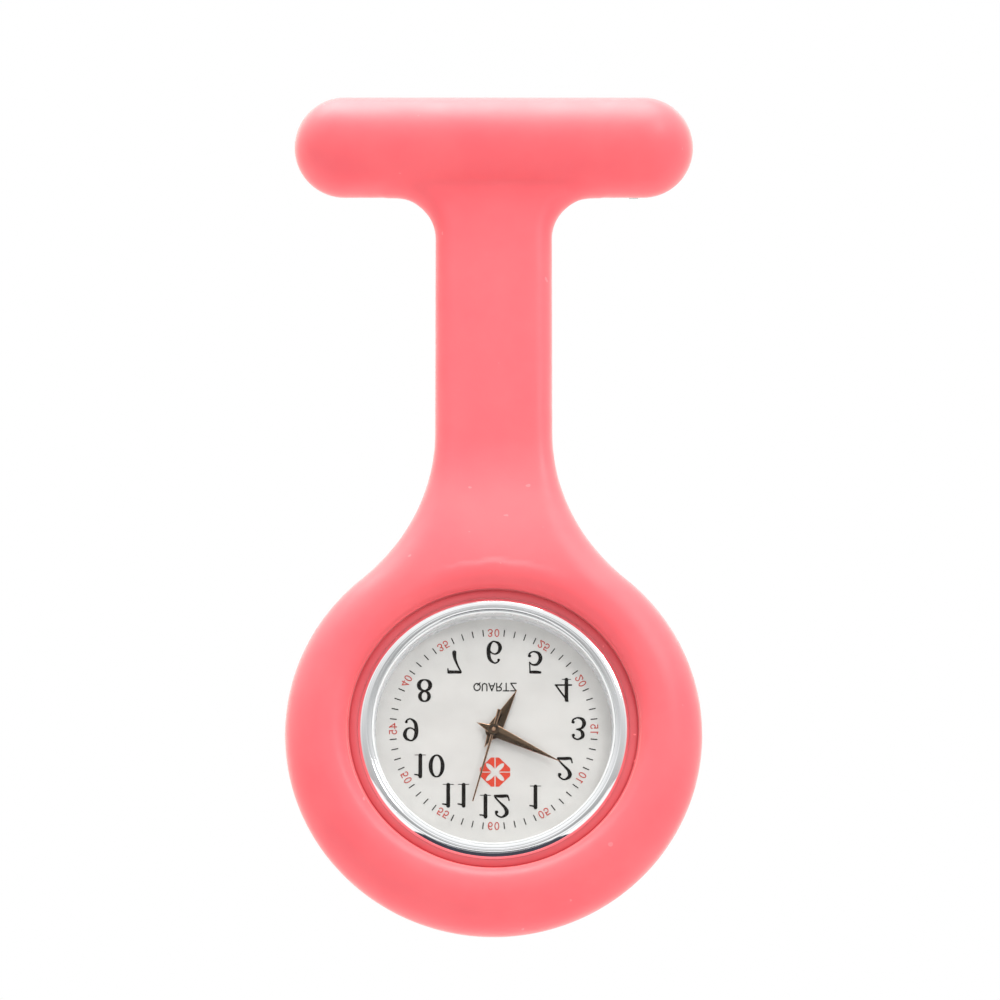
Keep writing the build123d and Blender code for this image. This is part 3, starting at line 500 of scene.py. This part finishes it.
def silicone_holder():
    """The moulding: a net over its outside, a turned surface inside, and a zipped seam between them."""
    low, high = (-22.0, -5.6, DIAL_Z - 22.0), (22.0, 5.6, 6.0)
    points, quads = surface_net(holder_distance, low, high, NET_STEP)
    points = relax(points, quads, holder_distance, RELAX_ROUNDS)
    radius = np.hypot(points[:, 0], points[:, 2] - DIAL_Z)
    keep = (radius[quads] > CUT_R).all(axis=1)
    quads = quads[keep]
    used = np.unique(quads)
    remap = -np.ones(len(points), np.int64)
    remap[used] = np.arange(len(used))
    points, quads = points[used], remap[quads]
    sides = np.sort(np.concatenate([quads[:, [a, (a + 1) % 4]] for a in range(4)]), axis=1)
    pairs, counts = np.unique(sides, axis=0, return_counts=True)
    rim = np.unique(pairs[counts == 1])
    angle = {int(v): atan2(points[v, 2] - DIAL_Z, points[v, 0]) for v in rim}
    for v in rim:
        side = -1 if points[v, 1] < 0 else 1
        a = angle[int(v)]
        points[v] = (CUT_R * cos(a), ring_front(CUT_R) if side < 0 else RING_BACK, DIAL_Z + CUT_R * sin(a))
    profile = inner_profile()
    verts, faces = lathe_mesh(profile, LATHE_SEGMENTS, centre=(0, 0, DIAL_Z), closed=False)
    base = len(points)
    every = list(map(tuple, points)) + verts
    polygons = [tuple(q) for q in quads] + [tuple(base + i for i in f) for f in faces]
    for side, row in ((-1, 0), (1, len(profile) - 1)):
        outer = sorted((int(v) for v in rim if np.sign(points[v, 1]) == side), key=lambda v: angle[v])
        inner = [base + row * LATHE_SEGMENTS + n for n in range(LATHE_SEGMENTS)]
        for v in inner:
            angle[v] = atan2(every[v][2] - DIAL_Z, every[v][0])
        polygons += zip_loops(outer, inner, angle)
    every = [(x, y + MID_Y, z) for x, y, z in every]
    # Faces inside the lip and in front of the ledge's back depth take the darker silicone: painted shade for
    # the recess round the bezel
    painted_shade_faces = []
    for polygon in polygons:
        spots = [every[v] for v in polygon]
        across = [hypot(x, z - DIAL_Z) for x, y, z in spots]
        deepest = max(y for x, y, z in spots)
        painted_shade_faces.append(int(max(across) < LIP_R + 0.05 and deepest < MID_Y + PAINTED_SHADE_BACK))
    mats = [MAT["silicone"], LEDGE_PAINTED_SHADE]
    obj = add(
        "silicone_moulding", every, polygons, "holder", "silicone", mats,
        face_mats=painted_shade_faces, replaces=("silicone_holder",),
    )
    bm = bmesh.new()
    bm.from_mesh(obj.data)
    bmesh.ops.remove_doubles(bm, verts=bm.verts, dist=WELD * MM)
    bmesh.ops.recalc_face_normals(bm, faces=bm.faces)
    crown_pocket(bm)
    bm.to_mesh(obj.data)
    bm.free()
    obj.data.shade_smooth()
    obj.data.set_sharp_from_angle(angle=radians(50))


def crown_pocket(bm):
    """Sinks the recess for the crown into the pocket's wall."""
    wall = []
    for face in bm.faces:
        c = face.calc_center_median() / MM
        r = hypot(c.x, c.z - DIAL_Z)
        on_wall = abs(r - CASE_R) < 0.08 and c.x > 0
        if on_wall and abs(c.z - DIAL_Z) < CROWN_POCKET_Z and abs(c.y - MID_Y) < CROWN_POCKET_Y:
            wall.append(face)
    made = bmesh.ops.extrude_face_region(bm, geom=wall)["geom"]
    for item in made:
        if isinstance(item, bmesh.types.BMVert):
            item.co.x = CROWN_POCKET_END * MM
    bmesh.ops.delete(bm, geom=wall, context="FACES_ONLY")


silicone_holder()

# ---------------------------------------------------------------- the watch head's outside
# Profiles of (radius, depth behind the bezel's front).
bezel = [(12.10, 0.95), (12.10, 0.17), (12.14, 0.11), (12.22, 0.08), (12.40, 0.05), (12.43, 0.085)]
bezel += [(12.48, 0.085), (12.51, 0.03), (12.60, 0.0), (12.65, 0.0)]
bezel += arc((12.55, 1.30), 1.30, -85, -72, 4) + [(12.965, 0.10), (12.99, 0.10)]
bezel += arc((12.55, 1.30), 1.30, -69.5, -44.5, 10)
bezel += [(13.5, 0.42), (13.5, 0.62), (13.5, 0.66), (13.8, 0.95), (13.8, 5.6), (13.65, 5.75)]
bezel += [(12.7, 5.75), (12.7, 4.95)]
bezel += [(12.15, 4.95), (12.15, 1.2), (11.78, 1.2), (11.78, 1.0), (12.10, 1.0)]
lathe("case_polished", bezel, "watch_head", "chrome", [MAT["chrome"]], smooth=35, replaces=("case",))
glass = [(0, 0.15), (11.66, 0.15), (11.74, 0.17), (11.81, 0.22), (11.85, 0.30), (11.85, 0.85), (0, 0.85)]
lathe("crystal_glass", glass, "watch_head", "glass", [MAT["glass"]], replaces=("crystal",), closed=False)
seal = [(12.08, 0.24), (12.08, 1.0), (11.78, 1.0), (11.78, 0.86), (11.87, 0.86), (11.87, 0.24)]
seal += [(11.93, 0.19), (12.02, 0.19)]
lathe("crystal_seal", seal, "watch_head", "seal", [MAT["seal"]], replaces=("crystal_gasket",))
spacer = [(12.1, 1.2), (11.78, 1.2), (11.74, 1.25), (11.70, 1.74), (11.70, 1.8), (12.1, 1.8)]
lathe("dial_spacer", spacer, "watch_head", "spacer", [MAT["spacer"]], replaces=("dial_spacer_ring",))
back = [(0, 5.77), (12.2, 5.77), (12.2, 5.35), (12.6, 5.35), (12.68, 5.45), (12.68, 5.76)]
back += [(13.5, 5.76), (13.5, 5.95)] + arc((13.2, 5.95), 0.3, 0, 90, 6)[1:]
back += [(9.75, 6.25), (9.7, 6.2), (9.55, 6.17), (9.4, 6.2), (9.35, 6.25)]
back += [(9.2, 6.25), (9.15, 6.215), (9.1, 6.25), (0, 6.25)]
steel = [MAT["back_steel"]]
lathe("snap_back", back, "watch_head", "back_steel", steel, replaces=("caseback",), closed=False)


# ---------------------------------------------------------------- dial print
def catmull(knots, steps=14):
    """A smooth run through knots of (x, y, width)."""
    k = [np.array(p, float) for p in knots]
    k = [2 * k[0] - k[1]] + k + [2 * k[-1] - k[-2]]
    out = []
    for a, b, c, d in zip(k, k[1:], k[2:], k[3:]):
        for t in np.linspace(0, 1, steps, endpoint=False):
            square, cube = 2 * a - 5 * b + 4 * c - d, 3 * b - a - 3 * c + d
            out.append(0.5 * (2 * b + (c - a) * t + square * t**2 + cube * t**3))
    return out + [k[-2]]


def ellipse(cx, cy, rx, ry, thin, thick):
    """A closed bowl that is thick at its sides and thin at top and bottom."""
    a = np.linspace(0, 2 * pi, 61)
    return [np.array((cx + rx * cos(t), cy + ry * sin(t), thin + thick * abs(cos(t)) ** 1.5)) for t in a]


# Each digit is a few lines of (x, y, width), as shares of its height before it is widened.
STROKES = {
    "0": [ellipse(0.27, 0.5, 0.195, 0.475, 0.035, 0.085)],
    "1": [
        [(0.24, 0.03, 0.115), (0.24, 0.96, 0.115)],
        [(0.25, 0.965, 0.05), (0.17, 0.90, 0.04), (0.06, 0.875, 0.03)],
    ],
    "2": [
        [(0.07, 0.73, 0.04), (0.10, 0.87, 0.045), (0.25, 0.975, 0.04), (0.40, 0.87, 0.10), (0.43, 0.72, 0.12),
         (0.36, 0.54, 0.085), (0.20, 0.32, 0.05), (0.07, 0.13, 0.04), (0.05, 0.06, 0.045)],
        [(0.05, 0.045, 0.07), (0.26, 0.055, 0.10), (0.43, 0.045, 0.08), (0.485, 0.12, 0.035),
         (0.505, 0.235, 0.03)],
    ],
    "3": [
        [(0.07, 0.78, 0.04), (0.11, 0.90, 0.045), (0.24, 0.975, 0.04), (0.39, 0.87, 0.095),
         (0.40, 0.72, 0.11), (0.34, 0.59, 0.06), (0.20, 0.535, 0.03)],
        [(0.20, 0.535, 0.03), (0.37, 0.48, 0.065), (0.45, 0.29, 0.12), (0.40, 0.10, 0.095),
         (0.24, 0.025, 0.04), (0.10, 0.10, 0.045), (0.06, 0.22, 0.04)],
    ],
    "4": [
        [(0.36, 0.02, 0.11), (0.36, 0.93, 0.11)],
        [(0.40, 0.97, 0.05), (0.20, 0.62, 0.045), (0.015, 0.27, 0.04)],
        [(0.0, 0.265, 0.04), (0.52, 0.265, 0.04)],
    ],
    "5": [
        [(0.12, 0.935, 0.085), (0.30, 0.935, 0.095), (0.435, 0.95, 0.07)],
        [(0.105, 0.96, 0.03), (0.09, 0.50, 0.03)],
        [(0.09, 0.51, 0.03), (0.20, 0.61, 0.045), (0.35, 0.57, 0.085), (0.445, 0.34, 0.12),
         (0.39, 0.11, 0.095), (0.23, 0.025, 0.04), (0.10, 0.10, 0.045), (0.06, 0.22, 0.04)],
    ],
    "6": [
        [(0.43, 0.84, 0.035), (0.37, 0.94, 0.04), (0.26, 0.975, 0.04), (0.12, 0.81, 0.10), (0.075, 0.5, 0.12),
         (0.10, 0.22, 0.11), (0.19, 0.05, 0.05), (0.27, 0.025, 0.04), (0.40, 0.11, 0.085),
         (0.455, 0.30, 0.115),
         (0.40, 0.50, 0.075), (0.28, 0.58, 0.035), (0.16, 0.51, 0.035), (0.10, 0.38, 0.04)],
    ],
    "7": [
        [(0.07, 0.93, 0.10), (0.44, 0.935, 0.09)], [(0.045, 0.97, 0.03), (0.035, 0.79, 0.03)],
        [(0.465, 0.93, 0.04), (0.36, 0.66, 0.05), (0.27, 0.36, 0.08), (0.245, 0.14, 0.125),
         (0.245, 0.06, 0.13)],
    ],
    "8": [ellipse(0.27, 0.755, 0.15, 0.22, 0.035, 0.075), ellipse(0.27, 0.265, 0.185, 0.24, 0.035, 0.09)],
}
BALLS = {
    "2": [(0.105, 0.755, 0.068)],
    "3": [(0.105, 0.79, 0.063), (0.095, 0.215, 0.065)],
    "5": [(0.095, 0.215, 0.065)],
    "6": [(0.405, 0.845, 0.06)],
}
SERIFS = {"1": [(0.07, 0.015, 0.41, 0.015, 0.03)], "4": [(0.22, 0.015, 0.50, 0.015, 0.03)]}
DIGIT_ADVANCE, ADVANCE = 0.54, {"1": 0.47}
STROKES["9"] = [[(DIGIT_ADVANCE - x, 1 - y, w) for x, y, w in line] for line in STROKES["6"]]
BALLS["9"] = [(DIGIT_ADVANCE - x, 1 - y, r) for x, y, r in BALLS["6"]]


def digit_discs(digit, plain):
    """A digit as discs of (x, y, radius); plain gives one thin even stroke with no serifs."""
    discs = []
    for line in STROKES[digit]:
        run = line if len(line) > 20 else catmull(line)
        for a, b in zip(run, run[1:]):
            steps = max(2, int(hypot(b[0] - a[0], b[1] - a[1]) / 0.012))
            for t in np.linspace(0, 1, steps):
                x, y, w = (np.array(a) * (1 - t) + np.array(b) * t)[:3]
                discs.append((x, y, PLAIN_RADIUS if plain else w * INK_GAIN + INK_SPREAD))
    if not plain:
        discs += BALLS.get(digit, [])
        for x0, y0, x1, y1, w in SERIFS.get(digit, []):
            discs += [(x, y0 + (y1 - y0) * (x - x0) / (x1 - x0), w / 2) for x in np.linspace(x0, x1, 30)]
    return discs


def text_discs(text, height, plain=False, gap=0.04):
    """A number as discs in millimetres, centred on the origin, as it reads."""
    discs, pen = [], 0.0
    for digit in text:
        discs += [(x * DIGIT_WIDE + pen, y, r) for x, y, r in digit_discs(digit, plain)]
        pen += ADVANCE.get(digit, DIGIT_ADVANCE) * DIGIT_WIDE + gap
    width = pen - gap
    return [((x - width / 2) * height, (y - 0.5) * height, r * height) for x, y, r in discs]


def ink(name, fields, step, material):
    """A thin raised print, one closed mesh: the inside of distance fields given as (function, low, high)."""
    verts, faces = [], []
    for field, low, high in fields:
        nx, ny = int((high[0] - low[0]) / step) + 2, int((high[1] - low[1]) / step) + 2
        gx, gy = np.meshgrid(low[0] + step * np.arange(nx), low[1] + step * np.arange(ny), indexing="ij")
        value = field(gx, gy)
        seen, flat = {}, []

        def point(i, j, k, l):
            key = (i, j, k, l)
            if key not in seen:
                a, b = value[i, j], value[k, l]
                t = 0.0 if (i, j) == (k, l) else a / (a - b)
                seen[key] = len(verts) // 2 * 2
                x = gx[i, j] + (gx[k, l] - gx[i, j]) * t
                y = gy[i, j] + (gy[k, l] - gy[i, j]) * t
                verts.append((x, HEAD_Y + PRINT_TOP, DIAL_Z + PRINT_RISE - y))
                verts.append((x, HEAD_Y + PRINT_BOTTOM, DIAL_Z + PRINT_RISE - y))
            return seen[key]

        inside = value < 0
        any_in = inside[:-1, :-1] | inside[1:, :-1] | inside[1:, 1:] | inside[:-1, 1:]
        for i, j in np.argwhere(any_in):
            ring = [(i, j), (i + 1, j), (i + 1, j + 1), (i, j + 1)]
            polygon = []
            for a, b in zip(ring, ring[1:] + ring[:1]):
                if inside[a]:
                    polygon.append(point(*a, *a))
                if inside[a] != inside[b]:
                    first, second = min(a, b), max(a, b)
                    polygon.append(point(*first, *second))
            polygon = [v for k, v in enumerate(polygon) if v not in polygon[:k]]
            if len(polygon) > 2:
                flat.append(polygon)
        edges = {}
        for polygon in flat:
            faces.append(polygon)
            faces.append([v + 1 for v in reversed(polygon)])
            for a, b in zip(polygon, polygon[1:] + polygon[:1]):
                edges[(a, b)] = edges.get((a, b), 0) + 1
        for a, b in edges:
            if (b, a) not in edges:
                faces.append([b, a, a + 1, b + 1])
    fix_normals(add(name, verts, faces, "watch_head", "dial_print", [material]))


def disc_field(discs, at, turn=0.0):
    """The union of discs, turned clockwise and moved to a place on the dial."""
    c, s = cos(radians(-turn)), sin(radians(-turn))
    placed = np.array([(x * c - y * s + at[0], x * s + y * c + at[1], r) for x, y, r in discs])
    low = placed[:, :2].min(0) - placed[:, 2].max() - 0.05
    high = placed[:, :2].max(0) + placed[:, 2].max() + 0.05

    def field(x, y):
        best = np.full(x.shape, 9.0)
        for px, py, r in placed:
            best = np.minimum(best, np.hypot(x - px, y - py) - r)
        return best

    return field, low, high


# Where the hour numbers stand, as the wearer reads the dial: +x right, +y towards 12.
HOURS = {
    "12": (0.05, 7.95), "1": (4.12, 7.0), "2": (7.05, 4.08), "3": (8.42, -0.06),
    "4": (6.95, -4.02), "5": (4.12, -6.93), "6": (0.08, -7.98), "7": (-3.83, -6.93),
    "8": (-6.86, -4.0), "9": (-8.24, 0.06), "10": (-6.40, 3.80), "11": (-3.74, 6.83),
}
fields = [disc_field(text_discs(text, NUMBER_HEIGHT), at) for text, at in HOURS.items()]
ink("hour_numbers", fields, 0.028, INK)
fields = []
for minute in range(5, 61, 5):
    angle = minute * 6
    at = (MINUTE_RADIUS * sin(radians(angle)), MINUTE_RADIUS * cos(radians(angle)))
    turn = angle if angle <= 90 or angle >= 270 else angle + 180
    fields.append(disc_field(text_discs(f"{minute:02d}", MINUTE_HEIGHT, True, MINUTE_GAP), at, turn))
ink("minute_numbers", fields, 0.022, RED_INK)


def tick_mesh():
    """A thin bar for every minute that has no number."""
    outline = ((TICK_IN, -TICK_HALF), (TICK_IN, TICK_HALF), (TICK_OUT, TICK_HALF), (TICK_OUT, -TICK_HALF))
    verts, faces = [], []
    for minute in range(60):
        if minute % 5 == 0:
            continue
        a = radians(minute * 6)
        out, side = (sin(a), cos(a)), (cos(a), -sin(a))
        base = len(verts)
        for y in (PRINT_TOP, PRINT_BOTTOM):
            for r, w in outline:
                across, along = out[0] * r + side[0] * w, out[1] * r + side[1] * w
                verts.append((across, HEAD_Y + y, DIAL_Z + PRINT_RISE - along))
        faces += [[base, base + 1, base + 2, base + 3], [base + 7, base + 6, base + 5, base + 4]]
        faces += [[base + k, base + k + 4, base + (k + 1) % 4 + 4, base + (k + 1) % 4] for k in range(4)]
    return verts, faces


fix_normals(add("minute_ticks", *tick_mesh(), "watch_head", "dial_print", [INK]))

# Each letter is a few lines of (x, y), with y from 0 at its foot to 1 at its top.
LETTERS = {
    "Q": (
        [(0.5 + 0.40 * cos(t), 0.5 + 0.47 * sin(t)) for t in np.linspace(0, 2 * pi, 40)],
        [(0.58, 0.24), (0.88, -0.06)],
    ),
    "U": ([(0.10, 1.0), (0.10, 0.38), (0.16, 0.14), (0.40, 0.02), (0.64, 0.14), (0.70, 0.38), (0.70, 1.0)],),
    "A": ([(0.02, 0.0), (0.40, 1.0), (0.78, 0.0)], [(0.16, 0.34), (0.64, 0.34)]),
    "R": (
        [(0.10, 0.0), (0.10, 1.0), (0.45, 1.0), (0.66, 0.90), (0.70, 0.74), (0.64, 0.58),
         (0.45, 0.50), (0.10, 0.50)],
        [(0.42, 0.50), (0.74, 0.0)],
    ),
    "T": ([(0.02, 1.0), (0.74, 1.0)], [(0.38, 1.0), (0.38, 0.0)]),
    "Z": ([(0.04, 1.0), (0.70, 1.0), (0.04, 0.0), (0.74, 0.0)],),
}
LETTER_ADVANCE, LETTER_GAP, WIDE_LETTERS = 0.93, 0.15, {"Q": 1.06}


def word_discs(word, height, width, stroke):
    """A word in a thin plain face, as discs in millimetres centred on the origin."""
    discs, pen = [], 0.0
    for letter in word:
        for line in LETTERS[letter]:
            for a, b in zip(line, line[1:]):
                for t in np.linspace(0, 1, max(2, int(hypot(b[0] - a[0], b[1] - a[1]) / 0.05))):
                    discs.append((pen + a[0] * (1 - t) + b[0] * t, a[1] * (1 - t) + b[1] * t))
        pen += WIDE_LETTERS.get(letter, LETTER_ADVANCE)
    scale = width / (pen - LETTER_GAP)
    return [((x - (pen - LETTER_GAP) / 2) * scale, (y - 0.5) * height, stroke / 2) for x, y in discs]


def rosette(x, y):
    """A small eight-sided rosette with four pale petals on its diagonals, cut by fine lines between them."""
    across, along = x - ROSETTE_X, y - ROSETTE_Y
    square = np.maximum(np.abs(across), np.abs(along)) - ROSETTE_HALF
    cut = (np.abs(across) + np.abs(along)) * DIAGONAL - ROSETTE_CUT
    outside = np.maximum(square, cut)
    u, v = np.abs(across + along) * DIAGONAL, np.abs(across - along) * DIAGONAL
    upright = np.hypot(u * PETAL_NARROW, v - PETAL) - PETAL
    level = np.hypot(u - PETAL, v * PETAL_NARROW) - PETAL
    petal = np.minimum(upright, level) * 0.45
    line = np.abs(u - v) * DIAGONAL - ROSETTE_LINE
    return np.maximum(outside, -np.minimum(petal, line))


ink("dial_rosette", [(rosette, (-1.6, 2.7), (1.9, 6.2))], 0.025, MARK_INK)
word = word_discs("QUARTZ", WORD_HEIGHT, WORD_WIDTH, WORD_STROKE)
ink("dial_word", [disc_field(word, WORD_AT)], 0.022, INK)


# ---------------------------------------------------------------- hands
def hand(name, length, tail, width, shoulder, angle, y_back, hub, body, node):
    """A dauphine hand: two facets that meet in a ridge, with a bright polished border.

    It is widest at the shoulder, and y_back is the depth of its back behind the bezel's front.
    """
    thick, ridge, inset = 0.05, 0.22, 0.055
    outer = [(length, 0.0), (shoulder, width / 2), (-tail, 0.0), (shoulder, -width / 2)]
    inner = [(length - inset * 4.5, 0.0), (shoulder, width / 2 - inset)]
    inner += [(-tail + inset * 2.4, 0.0), (shoulder, inset - width / 2)]
    c, s = cos(radians(angle)), sin(radians(angle))

    def place(p, y):
        return (p[0] * c - p[1] * s, HEAD_Y + y, DIAL_Z + p[0] * s + p[1] * c)

    verts = [place(p, y_back) for p in outer] + [place(p, y_back - thick) for p in outer]
    verts += [place(p, y_back - thick - 0.025) for p in inner]
    verts += [place((length - inset * 5, 0), y_back - thick - 0.03), place((shoulder, 0), y_back - ridge)]
    verts += [place((-tail + inset * 2.8, 0), y_back - thick - 0.03)]
    faces, mats = [[3, 2, 1, 0]], [0]
    for k in range(4):
        m = (k + 1) % 4
        faces += [[k, m, m + 4, k + 4], [k + 4, m + 4, m + 8, k + 8]]
        mats += [1, 1]
    faces += [[8, 9, 13, 12], [9, 10, 14, 13], [10, 11, 13, 14], [11, 8, 12, 13]]
    mats += [0, 0, 0, 0]
    obj = add(name, verts, faces, body, "bronze", [MAT["bronze"], ROSE], face_mats=mats, replaces=(node,))
    fix_normals(obj)
    profile = [(hub - 0.24, y_back), (hub, y_back), (hub, y_back - 0.13)]
    profile += [(hub - 0.04, y_back - 0.17), (hub - 0.24, y_back - 0.17)]
    lathe(name + "_hub", profile, body, "bronze", [MAT["bronze"]], segments=96)


hand("hour_hand_faceted", 4.93, 1.92, 1.5, 0.45, HOUR_ANGLE, 1.62, 0.82, "hours", "hour_hand")
hand("minute_hand_faceted", 7.5, 1.90, 1.25, 0.35, MINUTE_ANGLE, 1.36, 0.59, "minutes", "minute_hand")


def second_hand():
    """A slim tapered needle with bevelled bright edges and a short counterweight."""
    front, back = 0.98, 1.09
    line = [(7.67, 0.07), (0.3, 0.13), (-0.4, 0.14), (-2.14, 0.21)]
    c, s = cos(radians(SECOND_ANGLE)), sin(radians(SECOND_ANGLE))

    def place(x, w, y):
        return (x * c - w * s, HEAD_Y + y, DIAL_Z + x * s + w * c)

    verts, faces, mats = [], [], []
    for x, w in line:
        verts += [place(x, -w, back), place(x, w, back), place(x, w, front + 0.04), place(x, w * 0.5, front)]
        verts += [place(x, -w * 0.5, front), place(x, -w, front + 0.04)]
    for n in range(len(line) - 1):
        a, b = 6 * n, 6 * n + 6
        for k, mat in enumerate((0, 1, 1, 0, 1, 1)):
            m = (k + 1) % 6
            faces.append([a + k, a + m, b + m, b + k])
            mats.append(mat)
    faces += [list(range(6)), list(range(len(verts) - 6, len(verts)))]
    mats += [1, 1]
    obj = add(
        "second_hand_needle", verts, faces, "seconds", "bronze", [MAT["bronze"], ROSE],
        face_mats=mats, replaces=("second_hand",),
    )
    fix_normals(obj)
    boss = [(0.0, 1.10), (0.57, 1.10), (0.59, 1.07), (0.59, 1.0)] + arc((0.53, 1.0), 0.06, 0, -90, 4)[1:]
    boss += [(0.42, 0.94), (0.36, 0.965), (0.24, 0.97), (0.0, 0.97)]
    lathe("second_hand_boss", boss, "seconds", "bronze", [MAT["bronze"]], segments=96, closed=False)
    pin = [(0.0, 0.97), (0.2, 0.97), (0.2, 0.94)] + arc((0.15, 0.94), 0.05, 0, -90, 4)[1:]
    pin += [(0.08, 0.89), (0.0, 0.92)]
    lathe("centre_pin", pin, "seconds", "bronze", [ROSE], segments=64, closed=False)


second_hand()

# ---------------------------------------------------------------- CAD pieces that show as they are
for name in ("pin_plate", "hinge_rivet", "pin_needle", "safety_catch"):
    bevel = nodes[name].modifiers.new("edge", "BEVEL")
    bevel.width, bevel.segments, bevel.limit_method = EDGE_BEVEL * MM, 2, "ANGLE"
    bevel.angle_limit = radians(40)

# ---------------------------------------------------------------- stage, light and camera
def stage_plane(name, size, location, material):
    """A level square of the stage, which isn't part of the object."""
    mesh = bpy.data.meshes.new(name)
    h = size / 2
    mesh.from_pydata([(-h, -h, 0), (h, -h, 0), (h, h, 0), (-h, h, 0)], [], [(0, 1, 2, 3)])
    obj = bpy.data.objects.new(name, mesh)
    obj.location = location
    scene.collection.objects.link(obj)
    mesh.materials.append(material)
    return obj


floor_mat, _, floor_shader = new_material("pale_floor")
set_sockets(floor_shader, {"Roughness": 0.9, "Base Color": (0.78, 0.78, 0.78, 1)})
stage_plane("floor", 8.0, (0, 0, -0.42), floor_mat)


WORLD_STRENGTH = 1.6
WORLD_STOPS = [(0.0, 0.18), (0.30, 0.27), (0.50, 0.53), (0.75, 0.84), (1.0, 1.0)]
WORLD_UP = (0.0, 0.45, 0.89)  # the way to its brightest side


def studio_world():
    """White to the camera; to everything else bright above and behind, and dim below and in front."""
    world = bpy.data.worlds.new("studio")
    scene.world = world
    world.use_nodes = True
    tree = world.node_tree
    output = tree.nodes["World Output"]
    plain = tree.nodes["Background"]
    plain.inputs["Color"].default_value = (1.0, 1.0, 1.0, 1)
    plain.inputs["Strength"].default_value = 1.0
    coords = tree.nodes.new("ShaderNodeTexCoord")
    lean = tree.nodes.new("ShaderNodeVectorMath")
    lean.operation = "DOT_PRODUCT"
    lean.inputs[1].default_value = WORLD_UP
    tree.links.new(coords.outputs["Generated"], lean.inputs[0])
    height = tree.nodes.new("ShaderNodeMapRange")
    height.inputs["From Min"].default_value = -1.0
    tree.links.new(lean.outputs["Value"], height.inputs["Value"])
    sky = ramp(tree, height.outputs["Result"], WORLD_STOPS)
    box = tree.nodes.new("ShaderNodeBackground")
    box.inputs["Strength"].default_value = WORLD_STRENGTH
    tree.links.new(sky.outputs["Color"], box.inputs["Color"])
    path = tree.nodes.new("ShaderNodeLightPath")
    mix = tree.nodes.new("ShaderNodeMixShader")
    tree.links.new(path.outputs["Is Camera Ray"], mix.inputs["Fac"])
    tree.links.new(box.outputs["Background"], mix.inputs[1])
    tree.links.new(plain.outputs["Background"], mix.inputs[2])
    tree.links.new(mix.outputs["Shader"], output.inputs["Surface"])


studio_world()


def area(name, location, target, size, power, colour=(1, 1, 1)):
    """A rectangular lamp that faces a point; places and sizes in metres, power in watts."""
    data = bpy.data.lights.new(name, "AREA")
    data.shape, data.size, data.size_y = "RECTANGLE", size[0], size[1]
    data.energy, data.color = power, colour
    obj = bpy.data.objects.new(name, data)
    obj.location = location
    obj.rotation_euler = (Vector(target) - Vector(location)).to_track_quat("-Z", "Y").to_euler()
    scene.collection.objects.link(obj)


middle = (0, -0.007, -0.04)  # of the object, in metres
area("key_right", (0.30, -0.38, 0.27), middle, (0.16, 0.16), 0.95)
area("top_box", (-0.04, -0.06, 0.40), middle, (0.5, 0.3), 3.3, (1.0, 0.97, 0.93))
card_mat, _, card_shader = new_material("dark_card")
set_sockets(card_shader, {"Roughness": 0.8, "Base Color": (0.008, 0.009, 0.02, 1)})
card = stage_plane("dark_card", 1.0, (-0.01, -0.40, -0.28), card_mat)  # the chrome's dark band mirrors it
card.scale = (0.46, 1.0, 1.0)
card.visible_camera = card.visible_diffuse = card.visible_shadow = False

camera = bpy.data.objects.new("camera", bpy.data.cameras.new("camera"))
scene.collection.objects.link(camera)
scene.camera = camera
distance, tilt = 0.76, radians(18.4)  # in metres, and from below the dial's axis
target = Vector((0.00063, -0.0066, -0.03782))
camera.location = target + Vector((0, -cos(tilt), -sin(tilt))) * distance
camera.rotation_euler = (target - camera.location).to_track_quat("-Z", "Y").to_euler()
camera.data.lens = 272.8
camera.data.sensor_width = 36
camera.data.clip_start, camera.data.clip_end = 0.01, 20
scene.view_settings.view_transform = "Standard"
